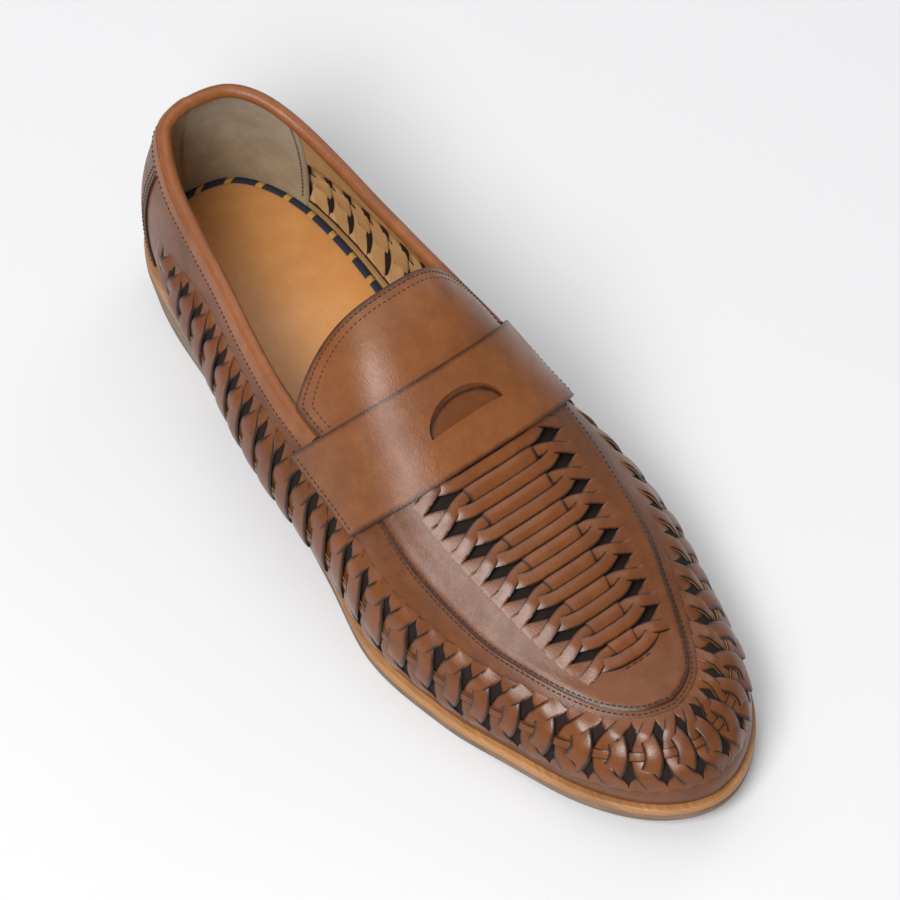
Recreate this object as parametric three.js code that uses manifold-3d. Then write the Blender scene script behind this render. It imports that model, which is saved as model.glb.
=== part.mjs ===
import * as THREE from 'three';
import { mergeVertices } from 'three/addons/utils/BufferGeometryUtils.js';
import manifoldLibrary from 'manifold-3d';

// Woven slip-on shoe for the right foot, in millimetres. +Y points to the toe, +X to the outer
// side of the foot and +Z up. The origin lies under the middle of the heel, on the ground.

// Sizes of the last and the sole
const SOLE_LENGTH = 300;
const BALL_WIDTH = 100;
const INSTEP_HEIGHT = 122;
const BACK_HEIGHT = 86;
const SIDE_BULGE = 10;
const HEEL_RISE = 17;
const HEEL_LENGTH = 70;
const HEEL_TIP_THICKNESS = 4;
const HEEL_TAPER = 3;
const OUTSOLE_THICKNESS = 3;
const WELT_THICKNESS = 3.5;
const WELT_MARGIN = 2.5;
const EDGE_BEVEL = 0.7;
const TOE_SPRING = 8.5;
const TOE_SWING = 3.4;
const SWING_START = 0.45;
const HEEL_CENTRE = 35;
const TOE_CENTRE = 43;
const SPINE_SOFTNESS = 9;
const INSOLE_THICKNESS = 3.5;

// Sizes of the upper
const WALL = 1.8;
const SEAM_GAP = 0.3;
const BAND_HEIGHT = 40;
const APRON_STEP = 0.8;
const COUNTER_STEP = 0.7;
const COUNTER_REACH = 38;
const WEAVE_START = 46;
const UNITS_PER_SIDE = 26;
const STRIP_RELIEF = 1.1;
const STRIP_LEAN = 3.2;
const LEAN_RUN = 26;
const LEAN_END = 0.82;
const STEP_WIDTH = 0.6;
const REAR_COLUMNS = 5;
const THROAT_STATION = 160;
const THROAT_BLEND = 29;
const BEAD_RADIUS = 2.2;

// Sizes of the strap, the tongue and the ladder in the apron
const STRAP_REAR = 151;
const STRAP_FRONT = 178.6;
const STRAP_THICKNESS = 1.8;
const STRAP_TILT = 0.59;
const STRAP_END_MARGIN = 1;
const TONGUE_REAR = 123;
const TONGUE_THICKNESS = 1.8;
const TONGUE_CORNER = 10;
const APRON_CENTRE = 4.5;
const MOON_LENGTH = 29;
const MOON_DEPTH = 8;
const MOON_STATION = 168.3;
const LADDER_START = 181;
const LADDER_PITCH = 9.05;
const LADDER_RUNGS = 8;
const LADDER_WIDTH = 43;
const LADDER_END_WIDTH = 22;
const RUNG_WIDTH = 5;
const RUNG_RELIEF = 0.9;
const RUNG_TIP = 0.12;
const APRON_GAP_LENGTH = 8.4;
const APRON_GAP_WIDTH = 3.4;
const APRON_GAP_LEAN = 0.4;

const SOLE_THICKNESS = WELT_THICKNESS + OUTSOLE_THICKNESS;
const LATERAL = 1;
const MEDIAL = -1;
const SIDES = [LATERAL, MEDIAL];

// Half widths of the sole as shares of the ball width, at equal steps of the turning angle
// from the back of the heel to the tip of the toe
const OUTLINE_ROWS = [
  { lateral: 0.000, medial: 0.000 },
  { lateral: 0.161, medial: 0.171 },
  { lateral: 0.251, medial: 0.275 },
  { lateral: 0.306, medial: 0.336 },
  { lateral: 0.341, medial: 0.351 },
  { lateral: 0.378, medial: 0.337 },
  { lateral: 0.426, medial: 0.329 },
  { lateral: 0.492, medial: 0.376 },
  { lateral: 0.563, medial: 0.467 },
  { lateral: 0.524, medial: 0.475 },
  { lateral: 0.443, medial: 0.422 },
  { lateral: 0.365, medial: 0.358 },
  { lateral: 0.259, medial: 0.257 },
  { lateral: 0.132, medial: 0.129 },
  { lateral: 0.000, medial: 0.000 },
];

// Form of the last along the foot: station is a share of the sole length, ridge a share of the
// instep height, ridgeX of the ball width, bulges of the side bulge, seat of the heel rise and
// tip of the toe spring
const LAST_ROWS = [
  { station: 0.00, ridge: 0.930, ridgeX: 0.000, power: 2.12, bulgeLateral: 0.20, bulgeMedial: 0.20, seat: 1.00, tip: 0.00 },
  { station: 0.12, ridge: 0.900, ridgeX: 0.000, power: 2.12, bulgeLateral: 0.24, bulgeMedial: 0.15, seat: 0.97, tip: 0.00 },
  { station: 0.22, ridge: 0.870, ridgeX: 0.000, power: 2.28, bulgeLateral: 0.43, bulgeMedial: 0.25, seat: 0.86, tip: 0.00 },
  { station: 0.30, ridge: 0.850, ridgeX: 0.005, power: 2.46, bulgeLateral: 0.75, bulgeMedial: 0.50, seat: 0.66, tip: 0.00 },
  { station: 0.38, ridge: 0.835, ridgeX: 0.012, power: 2.62, bulgeLateral: 0.86, bulgeMedial: 0.75, seat: 0.44, tip: 0.00 },
  { station: 0.46, ridge: 0.777, ridgeX: 0.020, power: 2.68, bulgeLateral: 0.60, bulgeMedial: 0.80, seat: 0.22, tip: 0.00 },
  { station: 0.56, ridge: 0.625, ridgeX: 0.028, power: 2.66, bulgeLateral: 0.36, bulgeMedial: 0.50, seat: 0.04, tip: 0.00 },
  { station: 0.60, ridge: 0.565, ridgeX: 0.032, power: 2.64, bulgeLateral: 0.33, bulgeMedial: 0.44, seat: 0.00, tip: 0.00 },
  { station: 0.66, ridge: 0.495, ridgeX: 0.035, power: 2.60, bulgeLateral: 0.30, bulgeMedial: 0.37, seat: 0.00, tip: 0.00 },
  { station: 0.74, ridge: 0.430, ridgeX: 0.037, power: 2.54, bulgeLateral: 0.26, bulgeMedial: 0.26, seat: 0.00, tip: 0.00 },
  { station: 0.80, ridge: 0.380, ridgeX: 0.036, power: 2.50, bulgeLateral: 0.23, bulgeMedial: 0.20, seat: 0.00, tip: 0.18 },
  { station: 0.86, ridge: 0.338, ridgeX: 0.034, power: 2.47, bulgeLateral: 0.19, bulgeMedial: 0.14, seat: 0.00, tip: 0.41 },
  { station: 1.00, ridge: 0.315, ridgeX: 0.034, power: 2.47, bulgeLateral: 0.18, bulgeMedial: 0.08, seat: 0.00, tip: 1.00 },
];

// Edges of the woven band and of the apron, measured up the wall as shares of the band height,
// and the height of the topline above the ground as a share of the back height
const EDGE_ROWS = [
  { station: 0.00, hem: 0.13, crestLateral: 0.68, crestMedial: 0.68, seamLateral: 1.45, seamMedial: 1.50, topline: 1.000 },
  { station: 0.06, hem: 0.13, crestLateral: 0.68, crestMedial: 0.68, seamLateral: 1.45, seamMedial: 1.50, topline: 0.975 },
  { station: 0.12, hem: 0.13, crestLateral: 0.70, crestMedial: 0.70, seamLateral: 1.45, seamMedial: 1.50, topline: 0.915 },
  { station: 0.20, hem: 0.13, crestLateral: 0.84, crestMedial: 0.84, seamLateral: 1.45, seamMedial: 1.50, topline: 0.862 },
  { station: 0.30, hem: 0.13, crestLateral: 0.98, crestMedial: 0.99, seamLateral: 1.45, seamMedial: 1.50, topline: 0.820 },
  { station: 0.38, hem: 0.13, crestLateral: 1.05, crestMedial: 1.07, seamLateral: 1.45, seamMedial: 1.50, topline: 0.792 },
  { station: 0.46, hem: 0.13, crestLateral: 1.06, crestMedial: 1.09, seamLateral: 1.42, seamMedial: 1.48, topline: 0.757 },
  { station: 0.53, hem: 0.13, crestLateral: 1.04, crestMedial: 1.08, seamLateral: 1.39, seamMedial: 1.45, topline: 0.715 },
  { station: 0.58, hem: 0.13, crestLateral: 1.00, crestMedial: 1.05, seamLateral: 1.33, seamMedial: 1.39, topline: 0.660 },
  { station: 0.64, hem: 0.13, crestLateral: 0.91, crestMedial: 1.00, seamLateral: 1.18, seamMedial: 1.27, topline: 0.600 },
  { station: 0.71, hem: 0.13, crestLateral: 0.83, crestMedial: 0.97, seamLateral: 1.03, seamMedial: 1.18, topline: 0.600 },
  { station: 0.78, hem: 0.14, crestLateral: 0.78, crestMedial: 0.94, seamLateral: 0.92, seamMedial: 1.10, topline: 0.600 },
  { station: 0.84, hem: 0.16, crestLateral: 0.76, crestMedial: 0.91, seamLateral: 0.86, seamMedial: 1.03, topline: 0.600 },
  { station: 0.90, hem: 0.20, crestLateral: 0.78, crestMedial: 0.89, seamLateral: 0.86, seamMedial: 0.98, topline: 0.600 },
  { station: 0.95, hem: 0.24, crestLateral: 0.83, crestMedial: 0.88, seamLateral: 0.90, seamMedial: 0.96, topline: 0.600 },
  { station: 1.00, hem: 0.29, crestLateral: 0.92, crestMedial: 0.92, seamLateral: 1.00, seamMedial: 1.00, topline: 0.600 },
];

// Where the woven units fall: their share of the count against the share of the side's length
const PITCH_ROWS = [
  { count: 0.00, along: 0.00 },
  { count: 0.27, along: 0.245 },
  { count: 0.54, along: 0.495 },
  { count: 0.67, along: 0.630 },
  { count: 0.81, along: 0.770 },
  { count: 0.90, along: 0.882 },
  { count: 1.00, along: 1.00 },
];

const LEATHER = { color: 0x8f532c, roughness: 0.48, metalness: 0 };
const LEATHER_DARK = { color: 0x7c4524, roughness: 0.5, metalness: 0 };
const LINING = { color: 0xd2a878, roughness: 0.6, metalness: 0 };
const WELT_LEATHER = { color: 0xb97a45, roughness: 0.55, metalness: 0 };
const SOLE_GREY = { color: 0x84725f, roughness: 0.7, metalness: 0 };
const TIP_RUBBER = { color: 0x4a423a, roughness: 0.8, metalness: 0 };

// Smooth curve through rows of a table
function curveThrough(xs, ys) {
  const last = xs.length - 1;
  const slopes = ys.map((_, i) => {
    const a = Math.max(i - 1, 0);
    const b = Math.min(i + 1, last);
    return (ys[b] - ys[a]) / (xs[b] - xs[a]);
  });
  return (x) => {
    const v = Math.min(Math.max(x, xs[0]), xs[last]);
    let k = 0;
    while (k < last - 1 && v > xs[k + 1]) k += 1;
    const h = xs[k + 1] - xs[k];
    const u = (v - xs[k]) / h;
    const u2 = u * u;
    const u3 = u2 * u;
    return (2 * u3 - 3 * u2 + 1) * ys[k] + (u3 - 2 * u2 + u) * h * slopes[k]
      + (3 * u2 - 2 * u3) * ys[k + 1] + (u3 - u2) * h * slopes[k + 1];
  };
}

function alongFoot(rows, column, unit) {
  return curveThrough(rows.map((r) => r.station * SOLE_LENGTH), rows.map((r) => r[column] * unit));
}

const ridgeHeight = alongFoot(LAST_ROWS, 'ridge', INSTEP_HEIGHT);
const ridgeX = alongFoot(LAST_ROWS, 'ridgeX', BALL_WIDTH);
const power = alongFoot(LAST_ROWS, 'power', 1);
const bulge = {
  [LATERAL]: alongFoot(LAST_ROWS, 'bulgeLateral', SIDE_BULGE),
  [MEDIAL]: alongFoot(LAST_ROWS, 'bulgeMedial', SIDE_BULGE),
};
const seatRise = alongFoot(LAST_ROWS, 'seat', HEEL_RISE);
const tipRise = alongFoot(LAST_ROWS, 'tip', TOE_SPRING);
const hemArc = alongFoot(EDGE_ROWS, 'hem', BAND_HEIGHT);
const crestArc = {
  [LATERAL]: alongFoot(EDGE_ROWS, 'crestLateral', BAND_HEIGHT),
  [MEDIAL]: alongFoot(EDGE_ROWS, 'crestMedial', BAND_HEIGHT),
};
const seamArc = {
  [LATERAL]: alongFoot(EDGE_ROWS, 'seamLateral', BAND_HEIGHT),
  [MEDIAL]: alongFoot(EDGE_ROWS, 'seamMedial', BAND_HEIGHT),
};
const toplineHeight = alongFoot(EDGE_ROWS, 'topline', BACK_HEIGHT);
const unitAlong = curveThrough(PITCH_ROWS.map((r) => r.count), PITCH_ROWS.map((r) => r.along));

// Height of the tread above the ground, and of the welt's top, at distance y from the back
function treadHeight(y) {
  return Math.max(0, seatRise(y)) + Math.max(0, tipRise(y));
}

function weltTop(y) {
  return treadHeight(y) + SOLE_THICKNESS;
}

// Half outline of the sole: point and outward normal at share q of its length
class HalfOutline {
  constructor(side) {
    this.side = side;
    const own = side === LATERAL ? 'lateral' : 'medial';
    const other = side === LATERAL ? 'medial' : 'lateral';
    const steps = OUTLINE_ROWS.length - 1;
    const turns = [];
    const widths = [];
    for (let i = -1; i <= steps + 1; i += 1) {
      turns.push((i * Math.PI) / steps);
      if (i < 0) widths.push(-OUTLINE_ROWS[1][other]);
      else if (i > steps) widths.push(-OUTLINE_ROWS[steps - 1][other]);
      else widths.push(OUTLINE_ROWS[i][own]);
    }
    this.width = curveThrough(turns, widths);
    const samples = 600;
    this.turns = [0];
    this.lengths = [0];
    let before = this.at(0);
    for (let i = 1; i <= samples; i += 1) {
      const turn = (i * Math.PI) / samples;
      const here = this.at(turn);
      this.turns.push(turn);
      this.lengths.push(this.lengths[i - 1] + here.distanceTo(before));
      before = here;
    }
    this.length = this.lengths[samples];
  }

  at(turn) {
    const y = (SOLE_LENGTH * (1 - Math.cos(turn))) / 2;
    const forward = Math.max(0, (y / SOLE_LENGTH - SWING_START) / (1 - SWING_START));
    const x = this.side * this.width(turn) * BALL_WIDTH + TOE_SWING * forward * forward;
    return new THREE.Vector2(x, y);
  }

  turnAt(q) {
    const goal = q * this.length;
    let low = 0;
    let high = this.lengths.length - 1;
    while (high - low > 1) {
      const mid = (low + high) >> 1;
      if (this.lengths[mid] > goal) high = mid;
      else low = mid;
    }
    const share = (goal - this.lengths[low]) / (this.lengths[high] - this.lengths[low]);
    return this.turns[low] + share * (this.turns[high] - this.turns[low]);
  }

  // Point at share q, moved outward by the offset
  point(q, offset) {
    const turn = this.turnAt(q);
    const step = 0.002;
    const ahead = this.at(turn + step);
    const behind = this.at(turn - step);
    const along = ahead.sub(behind).normalize();
    const normal = new THREE.Vector2(along.y, -along.x).multiplyScalar(this.side);
    return this.at(turn).addScaledVector(normal, offset);
  }
}

const outline = { [LATERAL]: new HalfOutline(LATERAL), [MEDIAL]: new HalfOutline(MEDIAL) };

function softStep(value) {
  return SPINE_SOFTNESS * Math.log1p(Math.exp(value / SPINE_SOFTNESS));
}

// Distance from the back at which the section line through share q meets the ridge
function spineStation(q) {
  const y = (outline[LATERAL].point(q, 0).y + outline[MEDIAL].point(q, 0).y) / 2;
  return HEEL_CENTRE + softStep(y - HEEL_CENTRE) - softStep(y - (SOLE_LENGTH - TOE_CENTRE));
}

// Point of the last on one side: q runs along the foot and t from the welt (0) to the ridge (1)
function lastPoint(side, q, t) {
  if (q < 0) return lastPoint(-side, -q, t);
  if (q > 1) return lastPoint(-side, 2 - q, t);
  if (t > 1) return lastPoint(-side, q, 2 - t);
  const foot = outline[side].point(q, -WELT_MARGIN);
  const station = spineStation(q);
  const inward = new THREE.Vector2(ridgeX(station), station).sub(foot);
  const outward = inward.clone().normalize().negate();
  const share = 2 / power(station);
  const angle = (Math.max(t, 0) * Math.PI) / 2;
  const across = 1 - Math.pow(Math.max(Math.cos(angle), 0), share);
  const up = Math.pow(Math.sin(angle), share);
  const swell = bulge[side](station) * 6.75 * up * (1 - up) * (1 - up);
  const base = weltTop(foot.y);
  const plan = foot.clone().addScaledVector(inward, across).addScaledVector(outward, swell);
  return new THREE.Vector3(plan.x, plan.y, base + (ridgeHeight(station) - base) * up);
}

function lastNormal(side, q, t) {
  const dq = 0.004;
  const dt = 0.006;
  const low = Math.max(t - dt, 0);
  const along = lastPoint(side, q + dq, t).sub(lastPoint(side, q - dq, t));
  const up = lastPoint(side, q, t + dt).sub(lastPoint(side, q, low));
  return along.cross(up).multiplyScalar(side).normalize();
}

function skin(side, q, t, offset) {
  const point = lastPoint(side, q, t);
  if (offset === 0) return point;
  return point.addScaledVector(lastNormal(side, q, t), offset);
}

// Lengths up the wall at one share q, to turn a length into t and back
const ladders = new Map();
function wallLengths(side, q) {
  const key = `${side}|${q.toFixed(5)}`;
  if (!ladders.has(key)) {
    const steps = 80;
    const lengths = [0];
    let before = lastPoint(side, q, 0);
    for (let i = 1; i <= steps; i += 1) {
      const here = lastPoint(side, q, i / steps);
      lengths.push(lengths[i - 1] + here.distanceTo(before));
      before = here;
    }
    ladders.set(key, lengths);
  }
  return ladders.get(key);
}

function shareAtArc(side, q, arc) {
  const lengths = wallLengths(side, q);
  const steps = lengths.length - 1;
  let k = 0;
  while (k < steps - 1 && lengths[k + 1] < arc) k += 1;
  return Math.min(1, (k + (arc - lengths[k]) / (lengths[k + 1] - lengths[k])) / steps);
}

function arcAtShare(side, q, t) {
  const lengths = wallLengths(side, q);
  const at = t * (lengths.length - 1);
  const k = Math.min(Math.floor(at), lengths.length - 2);
  return lengths[k] + (at - k) * (lengths[k + 1] - lengths[k]);
}

function shareAtHeight(side, q, height) {
  let low = 0;
  let high = 1;
  for (let i = 0; i < 40; i += 1) {
    const mid = (low + high) / 2;
    if (lastPoint(side, q, mid).z < height) low = mid;
    else high = mid;
  }
  return (low + high) / 2;
}

function shareAtStation(side, y) {
  let low = 0;
  let high = 1;
  for (let i = 0; i < 40; i += 1) {
    const mid = (low + high) / 2;
    if (outline[side].point(mid, 0).y < y) low = mid;
    else high = mid;
  }
  return (low + high) / 2;
}

// A closed skin of triangles put together corner by corner
class Shell {
  constructor() {
    this.corners = [];
    this.faces = [];
    this.known = new Map();
  }

  corner(point, key) {
    if (key !== undefined && this.known.has(key)) return this.known.get(key);
    this.corners.push(point);
    if (key !== undefined) this.known.set(key, this.corners.length - 1);
    return this.corners.length - 1;
  }

  face(a, b, c) {
    if (a !== b && b !== c && a !== c) this.faces.push([a, b, c]);
  }

  quad(a, b, c, d) {
    this.face(a, b, c);
    this.face(a, c, d);
  }

  // Fills the strip between two chains of { key, id } that run the same way
  zip(left, right, turned) {
    let i = 0;
    let j = 0;
    while (i < left.length - 1 || j < right.length - 1) {
      const stepLeft = j === right.length - 1
        || (i < left.length - 1 && left[i + 1].key <= right[j + 1].key);
      const a = left[i].id;
      const b = right[j].id;
      const c = stepLeft ? left[i + 1].id : right[j + 1].id;
      if (turned) this.face(b, a, c);
      else this.face(a, b, c);
      if (stepLeft) i += 1;
      else j += 1;
    }
  }

  geometry() {
    const geometry = new THREE.BufferGeometry();
    const flat = this.corners.flatMap((p) => [p.x, p.y - HEEL_CENTRE, p.z]);
    geometry.setAttribute('position', new THREE.Float32BufferAttribute(flat, 3));
    geometry.setIndex(this.faces.flat());
    return geometry;
  }
}

// Layer of the sole: rims from top to bottom, each with its offset and height over y, closed by
// flat rulings across the foot
function soleLayer(rims, steps, endStation) {
  const shell = new Shell();
  const ends = {};
  for (const side of SIDES) ends[side] = endStation ? shareAtStation(side, endStation) : 1;
  const corner = (side, i, r) => {
    const { offset, height } = rims[r];
    const q = (i / steps) * ends[side];
    const middle = i === 0 || (i === steps && !endStation);
    const p = outline[side].point(q, offset);
    const y = endStation && i === steps ? endStation + Math.min(0, offset) : p.y;
    return shell.corner(new THREE.Vector3(p.x, y, height(y)), `${middle ? 0 : side}|${i}|${r}`);
  };
  const bottom = rims.length - 1;
  for (let i = 0; i < steps; i += 1) {
    for (let r = 0; r < bottom; r += 1) {
      shell.quad(corner(LATERAL, i, r), corner(LATERAL, i, r + 1), corner(LATERAL, i + 1, r + 1), corner(LATERAL, i + 1, r));
      shell.quad(corner(MEDIAL, i, r), corner(MEDIAL, i + 1, r), corner(MEDIAL, i + 1, r + 1), corner(MEDIAL, i, r + 1));
    }
    shell.quad(corner(LATERAL, i, 0), corner(LATERAL, i + 1, 0), corner(MEDIAL, i + 1, 0), corner(MEDIAL, i, 0));
    shell.quad(corner(LATERAL, i, bottom), corner(MEDIAL, i, bottom), corner(MEDIAL, i + 1, bottom), corner(LATERAL, i + 1, bottom));
  }
  if (endStation) {
    for (let r = 0; r < bottom; r += 1) {
      shell.quad(corner(LATERAL, steps, r), corner(LATERAL, steps, r + 1), corner(MEDIAL, steps, r + 1), corner(MEDIAL, steps, r));
    }
  }
  return shell.geometry();
}

function outsoleGeometry() {
  const top = (y) => treadHeight(y) + OUTSOLE_THICKNESS - SEAM_GAP;
  return soleLayer([
    { offset: 0, height: top },
    { offset: 0, height: (y) => treadHeight(y) + EDGE_BEVEL },
    { offset: -EDGE_BEVEL, height: treadHeight },
  ], 34);
}

function weltGeometry() {
  const low = (y) => treadHeight(y) + OUTSOLE_THICKNESS;
  return soleLayer([
    { offset: -EDGE_BEVEL, height: weltTop },
    { offset: 0, height: (y) => weltTop(y) - EDGE_BEVEL },
    { offset: 0, height: (y) => low(y) + EDGE_BEVEL / 2 },
    { offset: -EDGE_BEVEL / 2, height: low },
  ], 34);
}

// The heel narrows evenly from the outsole down to the ground
function heelOffset(height) {
  return -HEEL_TAPER * (1 - height / HEEL_RISE);
}

function heelStackGeometry() {
  const low = HEEL_TIP_THICKNESS + SEAM_GAP;
  return soleLayer([
    { offset: heelOffset(HEEL_RISE), height: (y) => treadHeight(y) - SEAM_GAP },
    { offset: heelOffset(low), height: () => low },
  ], 12, HEEL_LENGTH);
}

function heelTipGeometry() {
  return soleLayer([
    { offset: heelOffset(HEEL_TIP_THICKNESS), height: () => HEEL_TIP_THICKNESS },
    { offset: heelOffset(EDGE_BEVEL), height: () => EDGE_BEVEL },
    { offset: heelOffset(0) - EDGE_BEVEL, height: () => 0 },
  ], 12, HEEL_LENGTH);
}

function insoleGeometry() {
  const offset = -(WELT_MARGIN + WALL + SEAM_GAP);
  return soleLayer([
    { offset: offset - EDGE_BEVEL, height: (y) => weltTop(y) + SEAM_GAP + INSOLE_THICKNESS },
    { offset, height: (y) => weltTop(y) + SEAM_GAP + INSOLE_THICKNESS - EDGE_BEVEL },
    { offset, height: (y) => weltTop(y) + SEAM_GAP },
  ], 28);
}

// Upper: one wall around the foot with the woven band, the counter and the apron

const THROAT = (shareAtStation(LATERAL, THROAT_STATION) + shareAtStation(MEDIAL, THROAT_STATION)) / 2;
const SIDE_LENGTH = (outline[LATERAL].length + outline[MEDIAL].length) / 2;
const FIRST_UNIT = WEAVE_START / SIDE_LENGTH;
const COUNTER_EDGE = COUNTER_REACH / SIDE_LENGTH;
const STEP_RUN = STEP_WIDTH / SIDE_LENGTH;

function unitShare(count) {
  return FIRST_UNIT + (1 - FIRST_UNIT) * unitAlong(count / UNITS_PER_SIDE);
}

function toplineShare(side, q) {
  const y = outline[side].point(q, 0).y;
  const height = toplineHeight(y) - 2 * BEAD_RADIUS - SEAM_GAP;
  const t = shareAtHeight(side, q, height);
  const blend = THREE.MathUtils.smoothstep(y, THROAT_STATION - THROAT_BLEND, THROAT_STATION);
  return t + (seamShare(side, q) - t) * blend;
}

function seamShare(side, q) {
  return shareAtArc(side, q, seamArc[side](outline[side].point(q, 0).y));
}

// Rows of one column of the wall, from the welt to the topline or the ridge
const ROW = { foot: 0, hem: 1, middle: 1.5, crest: 2, margin: 3, top: 4, step: 4.2, inner: 5, centre: 6, ridge: 7 };

function wallRow(side, q, row) {
  const y = outline[side].point(q, 0).y;
  const hem = hemArc(y);
  const crest = crestArc[side](y);
  if (row === ROW.foot) return 0;
  if (row <= ROW.crest) return shareAtArc(side, q, hem + (crest - hem) * (row - ROW.hem));
  const crestShare = shareAtArc(side, q, crest);
  const top = q < THROAT ? toplineShare(side, q) : seamShare(side, q);
  if (row === ROW.margin) return (crestShare + top) / 2;
  if (row === ROW.top) return top;
  const step = shareAtArc(side, q, arcAtShare(side, q, top) + STEP_WIDTH);
  if (row === ROW.step) return step;
  return step + (1 - step) * ((row - ROW.step) / (ROW.ridge - ROW.step));
}

// The strips lean: their lower ends lie nearer the toe along the sides of the foot
function leanOf(q) {
  const start = THREE.MathUtils.smoothstep(q, FIRST_UNIT, FIRST_UNIT + LEAN_RUN / SIDE_LENGTH);
  const end = 1 - THREE.MathUtils.smoothstep(q, LEAN_END, 1);
  return (STRIP_LEAN / SIDE_LENGTH) * start * end;
}

function leanedShare(q, row) {
  if (row <= ROW.foot || row >= ROW.top) return q;
  if (row < ROW.hem || row > ROW.crest) return q + leanOf(q) * (row > ROW.crest ? -0.25 : 0.5);
  return q + leanOf(q) * (1.5 - row);
}

class Wall extends Shell {
  // The ridge ends at the last column before the tip of the toe
  constructor(ridgeEnd) {
    super();
    this.ridgeEnd = ridgeEnd;
  }

  // Corner of the wall at share q, row and offset; the inner skin lies below the outer one
  at(side, share, row, relief, inner) {
    const q = row === ROW.ridge ? Math.min(share, this.ridgeEnd) : share;
    const middle = q <= 0 || q >= 1 || row === ROW.ridge;
    const key = `${middle ? 0 : side}|${q.toFixed(6)}|${row.toFixed(3)}|${inner ? 'in' : relief.toFixed(2)}`;
    if (this.known.has(key)) return this.known.get(key);
    const leaned = leanedShare(q, row);
    const t = wallRow(side, leaned, row);
    if (row === ROW.foot) {
      const p = outline[side].point(q, (inner ? -WALL : relief) - WELT_MARGIN);
      return this.corner(new THREE.Vector3(p.x, p.y, weltTop(p.y) + SEAM_GAP), key);
    }
    return this.corner(skin(side, leaned, t, inner ? -WALL : relief), key);
  }

  chain(side, q, rows, reliefOf, inner) {
    return rows.map((row) => ({ key: row, id: this.at(side, q, row, inner ? 0 : reliefOf(row), inner) }));
  }
}

// One woven unit, as shares of its pitch (a) and of the band (b) with the relief of the strips.
// Only its lower half is listed; the upper half mirrors it.
const UNIT_CORNERS = {
  footLeft: { a: -0.5, b: 0, relief: 0 },
  footMiddle: { a: 0, b: 0, relief: 0 },
  footRight: { a: 0.5, b: 0, relief: 0 },
  overRoot: { a: -0.25, b: 0.07, relief: 0.7 },
  underRoot: { a: 0.25, b: 0.07, relief: 0.4 },
  gapLow: { a: 0, b: 0.09, relief: 0.3 },
  gapLeftOver: { a: -0.24, b: 0.27, relief: 1 },
  gapLeftUnder: { a: -0.20, b: 0.31, relief: 0.35 },
  gapRightUnder: { a: 0.20, b: 0.25, relief: 0.35 },
  gapRightOver: { a: 0.24, b: 0.29, relief: 1 },
  gapHigh: { a: 0, b: 0.44, relief: 0.5 },
  crossLeft: { a: -0.5, b: 0.28, relief: 1.2 },
  crossRight: { a: 0.5, b: 0.28, relief: 1.2 },
  edgeLeft: { a: -0.5, b: 0.455, relief: 0.9 },
  edgeRight: { a: 0.5, b: 0.455, relief: 0.9 },
  lens: { a: -0.25, b: 0.5, relief: 1.3 },
  bound: { a: 0.25, b: 0.5, relief: 0.8 },
  laceLeft: { a: -0.5, b: 0.5, relief: 0.15 },
  laceMiddle: { a: 0, b: 0.5, relief: 0.25 },
  laceRight: { a: 0.5, b: 0.5, relief: 0.15 },
};
const UNIT_FACES = [
  ['footLeft', 'footMiddle', 'overRoot'], ['footMiddle', 'gapLow', 'overRoot'],
  ['overRoot', 'gapLow', 'gapLeftOver'], ['footLeft', 'overRoot', 'crossLeft'],
  ['overRoot', 'gapLeftOver', 'crossLeft'], ['crossLeft', 'gapLeftOver', 'edgeLeft'],
  ['gapLeftOver', 'gapLeftUnder', 'edgeLeft'], ['gapLeftUnder', 'laceLeft', 'edgeLeft'],
  ['gapLeftUnder', 'lens', 'laceLeft'], ['gapLeftUnder', 'gapHigh', 'lens'],
  ['gapHigh', 'laceMiddle', 'lens'], ['footMiddle', 'footRight', 'underRoot'],
  ['footMiddle', 'underRoot', 'gapLow'], ['gapLow', 'underRoot', 'gapRightUnder'],
  ['underRoot', 'footRight', 'gapRightUnder'], ['footRight', 'gapRightOver', 'gapRightUnder'],
  ['footRight', 'crossRight', 'gapRightOver'], ['crossRight', 'edgeRight', 'gapRightOver'],
  ['edgeRight', 'bound', 'gapRightOver'], ['gapRightOver', 'bound', 'gapHigh'],
  ['gapHigh', 'bound', 'laceMiddle'], ['edgeRight', 'laceRight', 'bound'],
];
const UNIT_BACK_FACES = [
  ['footLeft', 'footMiddle', 'gapLow'], ['footLeft', 'gapLow', 'gapLeftOver'],
  ['footLeft', 'gapLeftOver', 'laceLeft'], ['gapLeftOver', 'gapLeftUnder', 'laceLeft'],
  ['gapLeftUnder', 'gapHigh', 'laceLeft'], ['gapHigh', 'laceMiddle', 'laceLeft'],
  ['footMiddle', 'footRight', 'gapLow'], ['footRight', 'gapRightUnder', 'gapLow'],
  ['footRight', 'gapRightOver', 'gapRightUnder'], ['footRight', 'laceRight', 'gapRightOver'],
  ['laceRight', 'gapHigh', 'gapRightOver'], ['laceRight', 'laceMiddle', 'gapHigh'],
];
const GAP_RIM = ['gapLow', 'gapRightUnder', 'gapRightOver', 'gapHigh', 'gapLeftUnder', 'gapLeftOver'];
const SEAM_ROWS = ['footLeft', 'crossLeft', 'edgeLeft', 'laceLeft'];

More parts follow.
